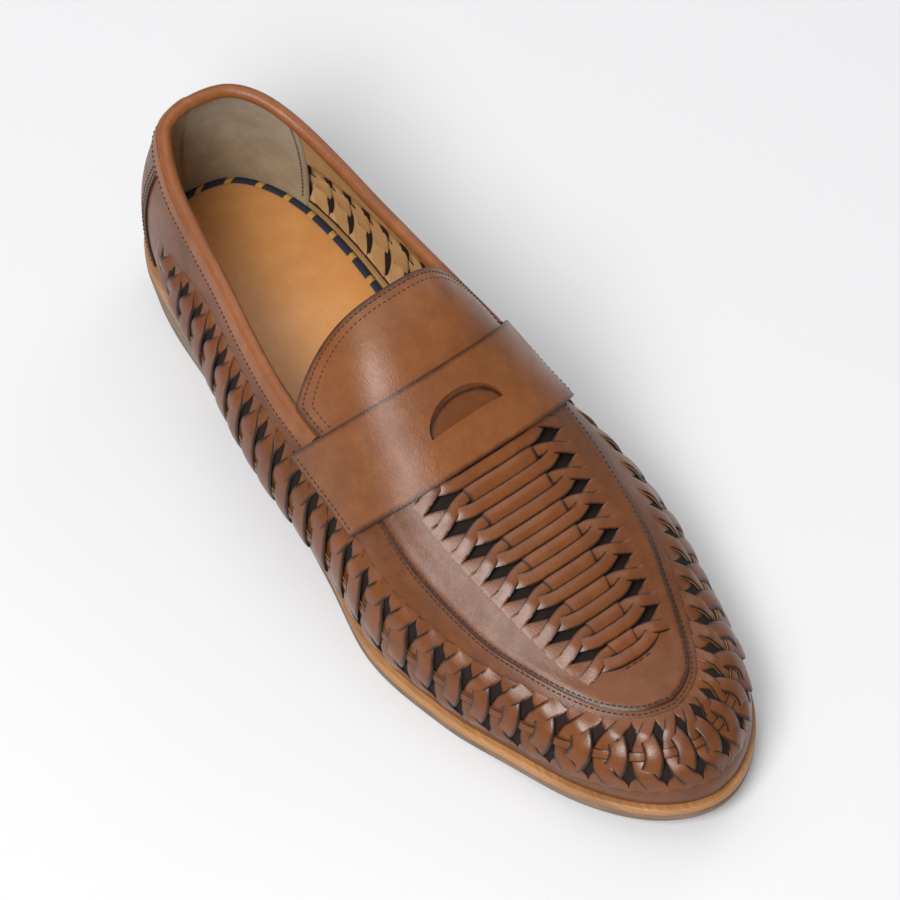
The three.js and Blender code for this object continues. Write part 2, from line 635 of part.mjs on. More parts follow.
// Adds one woven unit between the shares of its two ends
function addUnit(wall, side, start, end) {
  const locate = (name, upper, inner) => {
    const { a, b, relief } = UNIT_CORNERS[name];
    const shareB = upper ? 1 - b : b;
    const q = a < 0 ? start + (a + 0.5) * (end - start) : end - (0.5 - a) * (end - start);
    return wall.at(side, a === 0 ? (start + end) / 2 : q, ROW.hem + shareB, relief * STRIP_RELIEF, inner);
  };
  const place = (names, upper, inner) => {
    const [a, b, c] = names.map((name) => locate(name, upper, inner));
    const turned = (side === MEDIAL) !== upper !== inner;
    if (turned) wall.face(a, c, b);
    else wall.face(a, b, c);
  };
  for (const upper of [false, true]) {
    for (const names of UNIT_FACES) place(names, upper, false);
    for (const names of UNIT_BACK_FACES) place(names, upper, true);
    GAP_RIM.forEach((name, i) => {
      const next = GAP_RIM[(i + 1) % GAP_RIM.length];
      const a = locate(name, upper, false);
      const b = locate(next, upper, false);
      const c = locate(next, upper, true);
      const d = locate(name, upper, true);
      if ((side === MEDIAL) !== upper) wall.quad(a, d, c, b);
      else wall.quad(a, b, c, d);
    });
  }
}

function buildWall() {
  const columns = [];
  for (let i = 0; i <= REAR_COLUMNS; i += 1) columns.push(((COUNTER_EDGE - STEP_RUN) * i) / REAR_COLUMNS);
  columns.push(COUNTER_EDGE, FIRST_UNIT);
  const counterColumns = REAR_COLUMNS + 1;
  const firstWoven = columns.length - 1;
  for (let k = 0; k < UNITS_PER_SIDE; k += 1) {
    const start = unitShare(k);
    const end = k === UNITS_PER_SIDE - 1 ? 1 : unitShare(k + 1);
    columns.push((start + end) / 2, end);
  }
  const wall = new Wall(columns[columns.length - 2]);
  let throatColumn = 0;
  columns.forEach((q, i) => {
    if (Math.abs(q - THROAT) < Math.abs(columns[throatColumn] - THROAT)) throatColumn = i;
  });
  const rear = [ROW.foot, ROW.hem, ROW.middle, ROW.crest, ROW.margin, ROW.top];
  const wovenEdge = [ROW.foot, ROW.hem];
  for (const name of SEAM_ROWS.slice(1)) wovenEdge.push(ROW.hem + UNIT_CORNERS[name].b);
  for (const name of SEAM_ROWS.slice(1, 3).reverse()) wovenEdge.push(ROW.crest - UNIT_CORNERS[name].b);
  wovenEdge.push(ROW.crest, ROW.margin, ROW.top);
  const wovenEdgeInner = [ROW.foot, ROW.hem, ROW.middle, ROW.crest, ROW.margin, ROW.top];
  const reliefOfEdge = new Map();
  for (const name of SEAM_ROWS) {
    const { b, relief } = UNIT_CORNERS[name];
    reliefOfEdge.set((ROW.hem + b).toFixed(3), relief * STRIP_RELIEF);
    reliefOfEdge.set((ROW.crest - b).toFixed(3), relief * STRIP_RELIEF);
  }
  const wovenRelief = (row) => (row >= ROW.step ? APRON_STEP : reliefOfEdge.get(row.toFixed(3)) ?? 0);
  const counterRelief = () => COUNTER_STEP;
  const plainRelief = (row) => (row >= ROW.step ? APRON_STEP : 0);

  for (const side of SIDES) {
    const turned = side === MEDIAL;
    // Counter and the plain leather behind the weave
    for (let i = 0; i < firstWoven; i += 1) {
      const reliefOf = (k) => (k < counterColumns ? counterRelief : plainRelief);
      const nextRows = i + 1 === firstWoven ? wovenEdge : rear;
      const nextInner = i + 1 === firstWoven ? wovenEdgeInner : rear;
      const nextRelief = i + 1 === firstWoven ? wovenRelief : reliefOf(i + 1);
      wall.zip(wall.chain(side, columns[i], rear, reliefOf(i), false), wall.chain(side, columns[i + 1], nextRows, nextRelief, false), turned);
      wall.zip(wall.chain(side, columns[i], rear, plainRelief, true), wall.chain(side, columns[i + 1], nextInner, plainRelief, true), !turned);
    }
    // Woven units and the plain borders below and above them
    for (let k = 0; k < UNITS_PER_SIDE; k += 1) {
      const i = firstWoven + 2 * k;
      addUnit(wall, side, columns[i], columns[i + 2]);
      for (const c of [i, i + 1]) {
        for (const inner of [false, true]) {
          const flip = turned !== inner;
          const low = (n) => wall.chain(side, columns[n], [ROW.foot, ROW.hem], plainRelief, inner);
          wall.zip(low(c), low(c + 1), flip);
          const rows = [ROW.crest, ROW.margin, ROW.top];
          if (c >= throatColumn) {
            if (!inner) rows.push(ROW.step);
            rows.push(ROW.inner, ROW.centre, ROW.ridge);
          }
          const high = (n) => wall.chain(side, columns[n], rows, plainRelief, inner);
          wall.zip(high(c), high(c + 1), flip);
        }
      }
    }
    // Edge that stands on the welt, the topline and the throat
    const edge = (rowsOf, inner) => columns.map((q, i) => ({ i, q })).filter(({ i }) => rowsOf(i) !== null)
      .map(({ i, q }) => {
        const relief = !inner && i < counterColumns ? COUNTER_STEP : 0;
        return { key: i, id: wall.at(side, q, rowsOf(i), relief, inner) };
      });
    const footOf = () => ROW.foot;
    const topOf = (i) => (i <= throatColumn ? ROW.top : null);
    wall.zip(edge(footOf, false), edge(footOf, true), turned);
    wall.zip(edge(topOf, false), edge(topOf, true), !turned);
    const throatOuter = [ROW.top, ROW.step, ROW.inner, ROW.centre, ROW.ridge];
    const throatInner = [ROW.top, ROW.inner, ROW.centre, ROW.ridge];
    const q = columns[throatColumn];
    wall.zip(wall.chain(side, q, throatOuter, plainRelief, false), wall.chain(side, q, throatInner, plainRelief, true), !turned);
  }
  return { geometry: wall.geometry(), throat: columns[throatColumn] };
}

// Share q and t of the last under a point of the plan, on the top of the foot
function underPlan(x, y) {
  const side = x > ridgeX(y) ? LATERAL : MEDIAL;
  let q = 0.5;
  let low = 0;
  let high = 1;
  for (let i = 0; i < 30; i += 1) {
    q = (low + high) / 2;
    if (spineStation(q) < y) low = q;
    else high = q;
  }
  let t = 0.7;
  for (let i = 0; i < 25; i += 1) {
    const here = lastPoint(side, q, t);
    const dq = 0.002;
    const dt = -0.004;
    const a = lastPoint(side, q + dq, t).sub(here).divideScalar(dq);
    const b = lastPoint(side, q, t + dt).sub(here).divideScalar(dt);
    const det = a.x * b.y - a.y * b.x;
    const ex = x - here.x;
    const ey = y - here.y;
    if (Math.abs(det) < 1e-6) break;
    q = THREE.MathUtils.clamp(q + (0.8 * (ex * b.y - ey * b.x)) / det, 0.02, 0.99);
    t = THREE.MathUtils.clamp(t + (0.8 * (a.x * ey - a.y * ex)) / det, 0.1, 0.999);
  }
  return { side, q, t };
}

// Closed sheet between two offsets over a grid of places { side, q, t }
function sheetGeometry(grid, low, high) {
  const shell = new Shell();
  const rows = grid.length;
  const cols = grid[0].length;
  const ids = { up: [], down: [] };
  for (const line of grid) {
    ids.up.push(line.map(({ side, q, t, raise }) => shell.corner(skin(side, q, t, high + (raise ?? 0)))));
    ids.down.push(line.map(({ side, q, t }) => shell.corner(skin(side, q, t, low))));
  }
  for (let r = 0; r < rows - 1; r += 1) {
    for (let c = 0; c < cols - 1; c += 1) {
      shell.quad(ids.up[r][c], ids.up[r][c + 1], ids.up[r + 1][c + 1], ids.up[r + 1][c]);
      shell.quad(ids.down[r][c], ids.down[r + 1][c], ids.down[r + 1][c + 1], ids.down[r][c + 1]);
    }
  }
  const rim = [];
  for (let c = 0; c < cols - 1; c += 1) rim.push([0, c]);
  for (let r = 0; r < rows - 1; r += 1) rim.push([r, cols - 1]);
  for (let c = cols - 1; c > 0; c -= 1) rim.push([rows - 1, c]);
  for (let r = rows - 1; r > 0; r -= 1) rim.push([r, 0]);
  rim.forEach(([r, c], i) => {
    const [nr, nc] = rim[(i + 1) % rim.length];
    shell.quad(ids.up[r][c], ids.down[r][c], ids.down[nr][nc], ids.up[nr][nc]);
  });
  return shell.geometry();
}

// Share q at which a plane leaned like the strap, through the ridge at the station, meets t
function shareOnSection(side, t, station) {
  const crown = ridgeHeight(station);
  let low = 0.2;
  let high = 0.95;
  for (let i = 0; i < 36; i += 1) {
    const mid = (low + high) / 2;
    const p = lastPoint(side, mid, t);
    if (p.y - STRAP_TILT * (p.z - crown) < station) low = mid;
    else high = mid;
  }
  return (low + high) / 2;
}

// Places across the foot on a leaned section, from one side's start share to the other's
function sectionPlaces(station, startOf, count) {
  const fine = 40;
  const line = [];
  for (const side of SIDES) {
    const start = startOf(side, station);
    for (let i = side === LATERAL ? 0 : 1; i <= fine; i += 1) {
      const share = side === LATERAL ? i / fine : 1 - i / fine;
      const t = start + (1 - start) * share;
      const q = shareOnSection(side, Math.min(t, 1), station);
      line.push({ fold: side * (1 - t), q, point: lastPoint(side, q, t) });
    }
  }
  const lengths = [0];
  for (let i = 1; i < line.length; i += 1) lengths.push(lengths[i - 1] + line[i].point.distanceTo(line[i - 1].point));
  const places = [];
  for (let c = 0; c <= count; c += 1) {
    const goal = (lengths[lengths.length - 1] * c) / count;
    let k = 0;
    while (k < lengths.length - 2 && lengths[k + 1] < goal) k += 1;
    const share = (goal - lengths[k]) / (lengths[k + 1] - lengths[k]);
    const fold = line[k].fold + share * (line[k + 1].fold - line[k].fold);
    const q = line[k].q + share * (line[k + 1].q - line[k].q);
    places.push({ side: fold >= 0 ? LATERAL : MEDIAL, q, t: 1 - Math.abs(fold) });
  }
  return places;
}

function strapStart(side, station) {
  let low = 0.05;
  let high = 0.9;
  for (let i = 0; i < 24; i += 1) {
    const t = (low + high) / 2;
    const q = shareOnSection(side, t, station);
    const crest = crestArc[side](outline[side].point(q, 0).y) + STRAP_END_MARGIN;
    if (arcAtShare(side, q, t) < crest) low = t;
    else high = t;
  }
  return (low + high) / 2;
}

const STRAP_LOW = APRON_STEP + 2 * SEAM_GAP;

function solidOf(wasm, geometry) {
  const merged = mergeVertices(geometry, 1e-4);
  const mesh = new wasm.Mesh({
    numProp: 3,
    vertProperties: new Float32Array(merged.getAttribute('position').array),
    triVerts: new Uint32Array(merged.index.array),
  });
  return new wasm.Manifold(mesh);
}

function geometryOf(solid) {
  const { vertProperties, triVerts } = solid.getMesh();
  const geometry = new THREE.BufferGeometry();
  geometry.setAttribute('position', new THREE.BufferAttribute(vertProperties, 3));
  geometry.setIndex(new THREE.BufferAttribute(triVerts, 1));
  return geometry;
}

// Upright cutter with the plan of a shape, from the frame's ground to above the instep
function cutterSolid(wasm, shape) {
  const geometry = new THREE.ExtrudeGeometry(shape, { depth: INSTEP_HEIGHT, bevelEnabled: false });
  geometry.deleteAttribute('normal');
  geometry.deleteAttribute('uv');
  geometry.translate(0, -HEEL_CENTRE, weltTop(SOLE_LENGTH) + INSOLE_THICKNESS);
  return solidOf(wasm, geometry);
}

function strapGeometry(wasm) {
  const rows = 3;
  const across = 20;
  const grid = [];
  for (let r = 0; r <= rows; r += 1) {
    const station = STRAP_FRONT + ((STRAP_REAR - STRAP_FRONT) * r) / rows;
    grid.push(sectionPlaces(station, strapStart, across));
  }
  const band = solidOf(wasm, sheetGeometry(grid, STRAP_LOW, STRAP_LOW + STRAP_THICKNESS));
  const moon = new THREE.Shape();
  moon.absellipse(APRON_CENTRE, MOON_STATION, MOON_LENGTH / 2, MOON_DEPTH, Math.PI, 2 * Math.PI, false, 0);
  const points = moon.getPoints(9);
  return geometryOf(band.subtract(cutterSolid(wasm, new THREE.Shape(points))));
}

function tongueStart(side, q) {
  const edge = arcAtShare(side, q, toplineShare(side, q)) + 2 * BEAD_RADIUS + 3 * SEAM_GAP;
  return shareAtArc(side, q, edge);
}

function tongueGeometry(throat) {
  const rows = 5;
  const across = 14;
  const front = throat - SEAM_GAP / SIDE_LENGTH - 0.001;
  const grid = [];
  const ends = {};
  for (const side of SIDES) ends[side] = tongueStart(side, front);
  for (let r = 0; r <= rows; r += 1) {
    const line = [];
    for (let c = 0; c <= across; c += 1) {
      const w = 1 - (2 * c) / across;
      const side = w >= 0 ? LATERAL : MEDIAL;
      const corner = TONGUE_CORNER * Math.pow(Math.abs(w), 3);
      const lowT = ends[side];
      let t = 1 - (1 - lowT) * Math.abs(w);
      const rearQ = shareOnSection(side, t, TONGUE_REAR + corner);
      const q = front + ((rearQ - front) * r) / rows;
      const limit = tongueStart(side, q);
      t = Math.abs(w) < 1e-9 ? 1 : 1 - (1 - limit) * Math.abs(w);
      line.push({ side, q, t });
    }
    grid.push(line);
  }
  const top = APRON_STEP - SEAM_GAP;
  return sheetGeometry(grid, top - TONGUE_THICKNESS, top);
}

// Rolled bead along the topline, from one end of the strap round the heel to the other
function bindingGeometry() {
  const shell = new Shell();
  const facets = 8;
  const steps = 17;
  const rings = [];
  const ends = {};
  for (const side of SIDES) {
    let low = 0.3;
    let high = THROAT;
    for (let i = 0; i < 30; i += 1) {
      const mid = (low + high) / 2;
      const p = lastPoint(side, mid, toplineShare(side, mid));
      const crown = ridgeHeight(STRAP_REAR);
      if (p.y - STRAP_TILT * (p.z - crown) < STRAP_REAR - BEAD_RADIUS) low = mid;
      else high = mid;
    }
    ends[side] = low;
  }
  const ring = (side, q) => {
    const t = toplineShare(side, q);
    const arc = arcAtShare(side, q, t) + BEAD_RADIUS + SEAM_GAP;
    const centre = skin(side, q, shareAtArc(side, q, arc), -WALL / 2);
    const out = lastNormal(side, q, t);
    const up = skin(side, q, shareAtArc(side, q, arc + 1), 0).sub(skin(side, q, shareAtArc(side, q, arc - 1), 0)).normalize();
    const ids = [];
    for (let f = 0; f < facets; f += 1) {
      const angle = ((f + 0.5) * 2 * Math.PI) / facets;
      const p = centre.clone().addScaledVector(out, BEAD_RADIUS * Math.cos(angle));
      ids.push(shell.corner(p.addScaledVector(up, BEAD_RADIUS * Math.sin(angle))));
    }
    return ids;
  };
  for (let i = steps; i > 0; i -= 1) rings.push(ring(LATERAL, (ends[LATERAL] * i) / steps));
  for (let i = 0; i <= steps; i += 1) rings.push(ring(MEDIAL, (ends[MEDIAL] * i) / steps));
  for (let i = 0; i < rings.length - 1; i += 1) {
    for (let f = 0; f < facets; f += 1) {
      const g = (f + 1) % facets;
      shell.quad(rings[i][f], rings[i][g], rings[i + 1][g], rings[i + 1][f]);
    }
  }
  const cap = (ids, flip) => {
    for (let f = 1; f < facets - 1; f += 1) {
      if (flip) shell.face(ids[0], ids[f + 1], ids[f]);
      else shell.face(ids[0], ids[f], ids[f + 1]);
    }
  };
  cap(rings[0], true);
  cap(rings[rings.length - 1], false);
  return shell.geometry();
}

// Half width of the ladder in the apron at distance y from the back
function ladderHalfWidth(y) {
  const share = (y - LADDER_START) / (LADDER_PITCH * LADDER_RUNGS);
  return (LADDER_WIDTH + (LADDER_END_WIDTH - LADDER_WIDTH) * Math.pow(Math.max(share, 0), 1.4)) / 2;
}

// Pointed rung across the apron, raised over its face
function rungGeometry(y, half, width, relief) {
  const cuts = 8;
  const grid = [[], []];
  for (let i = 0; i <= cuts; i += 1) {
    const a = 1 - (2 * i) / cuts;
    const swell = RUNG_TIP + (1 - RUNG_TIP) * Math.sqrt(Math.max(0, 1 - a * a));
    const x = APRON_CENTRE + half * a;
    const raise = (relief * (1 + 2 * swell)) / 3;
    grid[0].push({ ...underPlan(x, y + (width / 2) * swell), raise });
    grid[1].push({ ...underPlan(x, y - (width / 2) * swell), raise });
  }
  return sheetGeometry(grid, -WALL / 2, APRON_STEP);
}

function upperGeometry(wasm, wall) {
  let solid = solidOf(wasm, wall.geometry);
  for (let k = 0; k < LADDER_RUNGS; k += 1) {
    const y = LADDER_START + (k + 0.5) * LADDER_PITCH;
    const rung = rungGeometry(y, ladderHalfWidth(y) + RUNG_WIDTH / 2, RUNG_WIDTH, RUNG_RELIEF);
    solid = solid.add(solidOf(wasm, rung));
  }
  for (let k = 0; k < LADDER_RUNGS; k += 1) {
    const y = LADDER_START + k * LADDER_PITCH;
    for (const side of SIDES) {
      const x = APRON_CENTRE + side * ladderHalfWidth(y);
      const gap = new THREE.Shape();
      const run = (side * APRON_GAP_LENGTH) / 2;
      gap.moveTo(x - run, y + APRON_GAP_LEAN);
      gap.lineTo(x, y - APRON_GAP_WIDTH / 2);
      gap.lineTo(x + run, y - APRON_GAP_LEAN);
      gap.lineTo(x, y + APRON_GAP_WIDTH / 2);
      solid = solid.subtract(cutterSolid(wasm, gap));
    }
  }
  return geometryOf(solid);
}

const wasm = await manifoldLibrary();
wasm.setup();

const shoe = new THREE.Group();

function add(name, geometry, look) {
  geometry.computeVertexNormals();
  const mesh = new THREE.Mesh(geometry, new THREE.MeshStandardMaterial(look));
  mesh.name = name;
  shoe.add(mesh);
}

const wall = buildWall();
add('heel_tip', heelTipGeometry(), TIP_RUBBER);
add('heel_stack', heelStackGeometry(), SOLE_GREY);
add('outsole', outsoleGeometry(), SOLE_GREY);
add('welt', weltGeometry(), WELT_LEATHER);
add('insole', insoleGeometry(), LINING);
add('upper', upperGeometry(wasm, wall), LEATHER);
add('tongue', tongueGeometry(wall.throat), LEATHER);
add('saddle_strap', strapGeometry(wasm), LEATHER_DARK);
add('collar_binding', bindingGeometry(), LEATHER);

export default shoe;
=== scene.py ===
"""Dressed model of a woven leather slip-on shoe for the right foot.

The solids of the shoe are loaded as a frame. Every piece here is worked out from the same form
of the last and the same named sizes, in millimetres, and is placed in the frame in metres.
"""

import logging
import math
from dataclasses import dataclass
from enum import Enum
from functools import partial
from typing import Callable, Sequence

import bpy
import numpy as np
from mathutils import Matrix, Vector

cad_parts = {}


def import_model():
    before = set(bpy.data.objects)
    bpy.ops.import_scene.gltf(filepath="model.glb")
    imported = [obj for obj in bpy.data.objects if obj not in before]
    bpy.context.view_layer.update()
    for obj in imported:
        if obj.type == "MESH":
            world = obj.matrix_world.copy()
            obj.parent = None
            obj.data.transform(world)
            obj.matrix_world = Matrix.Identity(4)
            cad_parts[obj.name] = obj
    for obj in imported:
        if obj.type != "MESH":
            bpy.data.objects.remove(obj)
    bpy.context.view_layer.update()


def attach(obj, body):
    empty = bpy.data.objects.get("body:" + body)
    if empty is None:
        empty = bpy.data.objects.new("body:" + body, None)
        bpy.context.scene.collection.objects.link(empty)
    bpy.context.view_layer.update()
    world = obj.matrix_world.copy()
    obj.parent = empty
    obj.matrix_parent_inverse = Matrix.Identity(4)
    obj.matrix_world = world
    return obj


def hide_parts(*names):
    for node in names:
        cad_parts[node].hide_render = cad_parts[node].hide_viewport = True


LOG = logging.getLogger("shoe")
MM = 0.001
ROOT = "root"
LATERAL = 1.0
MEDIAL = -1.0
SIDES = (LATERAL, MEDIAL)
Array = np.ndarray
Piece = bpy.types.Object
Material = bpy.types.Material
Tree = bpy.types.NodeTree
Node = bpy.types.Node
Socket = bpy.types.NodeSocket
Level = Callable[[Array], Array]
Ring = tuple[float, Level]
Row = tuple[Array, Array]
Part = tuple[Array, Array, Array, Array]


class Finish(Enum):
    """Names of the finishes that pieces are dressed in."""

    CALF = "calf"
    STRIP = "strip"
    STRAP = "strap"
    BINDING = "binding"
    FLESH = "flesh"
    SUEDE = "suede"
    SOCK = "sock"
    SHADE = "shade"
    WELT = "welt"
    SOLE_EDGE = "sole_edge"
    TREAD = "tread"
    THREAD = "thread"
    RIBBON = "ribbon"


CALF = (Finish.CALF, Finish.FLESH)
STRIP = (Finish.STRIP, Finish.FLESH)
STRAP = (Finish.STRAP, Finish.FLESH)


class Curve:
    """Smooth curve through the rows of a table."""

    def __init__(self, xs: Sequence[float], ys: Sequence[float]) -> None:
        """Store the rows and their slopes.

        Args:
            xs: Places of the rows, rising.
            ys: Values at the rows.
        """
        self.xs = np.asarray(xs, float)
        self.ys = np.asarray(ys, float)
        n = len(self.xs)
        low = np.maximum(np.arange(n) - 1, 0)
        high = np.minimum(np.arange(n) + 1, n - 1)
        self.slopes = (self.ys[high] - self.ys[low]) / (self.xs[high] - self.xs[low])

    def __call__(self, x: Array) -> Array:
        """Return the value of the curve at each x."""
        xs, ys, m = self.xs, self.ys, self.slopes
        v = np.clip(np.asarray(x, float), xs[0], xs[-1])
        k = np.clip(np.searchsorted(xs, v, side="right") - 1, 0, len(xs) - 2)
        h = xs[k + 1] - xs[k]
        u = (v - xs[k]) / h
        u2, u3 = u * u, u * u * u
        return (
            (2 * u3 - 3 * u2 + 1) * ys[k]
            + (u3 - 2 * u2 + u) * h * m[k]
            + (3 * u2 - 2 * u3) * ys[k + 1]
            + (u3 - u2) * h * m[k + 1]
        )


def smoothstep(x: Array, low: float, high: float) -> Array:
    """Return 0 below low, 1 above high and a smooth rise between."""
    u = np.clip((np.asarray(x, float) - low) / (high - low), 0, 1)
    return u * u * (3 - 2 * u)


def unit(v: Array) -> Array:
    """Return vectors of length one."""
    return v / np.maximum(np.linalg.norm(v, axis=-1, keepdims=True), 1e-12)


def run_length(points: Array, axis: int = 0) -> Array:
    """Return the length run along one axis of a table of points, from 0."""
    step = np.linalg.norm(np.diff(points, axis=axis), axis=-1)
    return np.concatenate([np.zeros_like(step.take([0], axis)), np.cumsum(step, axis)], axis)


def from_ends(count: int) -> Array:
    """Return how many steps each place in a row lies from the nearer end."""
    return np.minimum(np.arange(count), np.arange(count)[::-1])


def from_heel(q: Array) -> Array:
    """Return the share from the heel for a share that may run on past the toe."""
    return np.where(q > 1, 2 - q, q)


# Half widths of the sole as shares of the ball width, at equal steps round from heel to toe
OUTLINE_LATERAL = (
    0, 0.161, 0.251, 0.306, 0.341, 0.378, 0.426, 0.492, 0.563, 0.524, 0.443, 0.365, 0.259, 0.132, 0,
)
OUTLINE_MEDIAL = (
    0, 0.171, 0.275, 0.336, 0.351, 0.337, 0.329, 0.376, 0.467, 0.475, 0.422, 0.358, 0.257, 0.129, 0,
)

# Sections of the last from heel to toe, as shares of the sizes in Last
LAST_COLUMNS = ("station", "ridge", "ridge_x", "power", "bulge_lateral", "bulge_medial", "seat", "tip")
LAST_ROWS = (
    (0.00, 0.930, 0.000, 2.12, 0.20, 0.20, 1.00, 0.00),
    (0.12, 0.900, 0.000, 2.12, 0.24, 0.15, 0.97, 0.00),
    (0.22, 0.870, 0.000, 2.28, 0.43, 0.25, 0.86, 0.00),
    (0.30, 0.850, 0.005, 2.46, 0.75, 0.50, 0.66, 0.00),
    (0.38, 0.835, 0.012, 2.62, 0.86, 0.75, 0.44, 0.00),
    (0.46, 0.777, 0.020, 2.68, 0.60, 0.80, 0.22, 0.00),
    (0.56, 0.625, 0.028, 2.66, 0.36, 0.50, 0.04, 0.00),
    (0.60, 0.565, 0.032, 2.64, 0.33, 0.44, 0.00, 0.00),
    (0.66, 0.495, 0.035, 2.60, 0.30, 0.37, 0.00, 0.00),
    (0.74, 0.430, 0.037, 2.54, 0.26, 0.26, 0.00, 0.00),
    (0.80, 0.380, 0.036, 2.50, 0.23, 0.20, 0.00, 0.18),
    (0.86, 0.338, 0.034, 2.47, 0.19, 0.14, 0.00, 0.41),
    (1.00, 0.315, 0.034, 2.47, 0.18, 0.08, 0.00, 1.00),
)

# Edges of the woven band, the apron and the topline, as shares of the band's and the back's height
EDGE_COLUMNS = ("station", "hem", "crest_lateral", "crest_medial", "seam_lateral", "seam_medial", "topline")
EDGE_ROWS = (
    (0.00, 0.13, 0.68, 0.68, 1.45, 1.50, 1.000),
    (0.06, 0.13, 0.68, 0.68, 1.45, 1.50, 0.975),
    (0.12, 0.13, 0.70, 0.70, 1.45, 1.50, 0.915),
    (0.20, 0.13, 0.84, 0.84, 1.45, 1.50, 0.862),
    (0.30, 0.13, 0.98, 0.99, 1.45, 1.50, 0.820),
    (0.38, 0.13, 1.05, 1.07, 1.45, 1.50, 0.792),
    (0.46, 0.13, 1.06, 1.09, 1.42, 1.48, 0.757),
    (0.53, 0.13, 1.04, 1.08, 1.39, 1.45, 0.715),
    (0.58, 0.13, 1.00, 1.05, 1.33, 1.39, 0.660),
    (0.64, 0.13, 0.91, 1.00, 1.18, 1.27, 0.600),
    (0.71, 0.13, 0.83, 0.97, 1.03, 1.18, 0.600),
    (0.78, 0.14, 0.78, 0.94, 0.92, 1.10, 0.600),
    (0.84, 0.16, 0.76, 0.91, 0.86, 1.03, 0.600),
    (0.90, 0.20, 0.78, 0.89, 0.86, 0.98, 0.600),
    (0.95, 0.24, 0.83, 0.88, 0.90, 0.96, 0.600),
    (1.00, 0.29, 0.92, 0.92, 1.00, 1.00, 0.600),
)

# Share of the units counted from the heel, and the share of the side that they take up
PITCH_COUNTS = (0.00, 0.27, 0.54, 0.67, 0.81, 0.90, 1.00)
PITCH_SHARES = (0.00, 0.245, 0.495, 0.630, 0.770, 0.882, 1.00)

# Share of the crossing at which the heights of a strip are given
SWAYS = (0, 0.25, 0.5, 0.75, 1.0)

# How deep the ends of a strip dive under the borders, and how late
ROOT_SINK = 0.8
ROOT_CURL = 2.2

# Section of a flat strip: place across and down, and how worn it is; the first corners are its face
SECTION = (
    (-1.0, -0.45, 1.0),
    (-0.94, -0.12, 0.95),
    (-0.62, -0.02, 0.26),
    (0.0, 0.0, 0.0),
    (0.62, -0.02, 0.26),
    (0.94, -0.12, 0.95),
    (1.0, -0.45, 1.0),
    (0.92, -0.95, 0.4),
    (0.0, -1.0, 0.0),
    (-0.92, -0.95, 0.4),
)
FACE_CORNERS = 7

# Rings of one stitch: place along it and share of its radius
STITCH_RINGS = ((-0.5, 0.35), (-0.38, 0.85), (0.0, 1.0), (0.38, 0.85), (0.5, 0.35))

# Longest way up the wall that is tabulated, in millimetres
LONGEST_ARC = 180

# Makes the greatest value of up * (1 - up) ** 2 one
BULGE_GAIN = 6.75


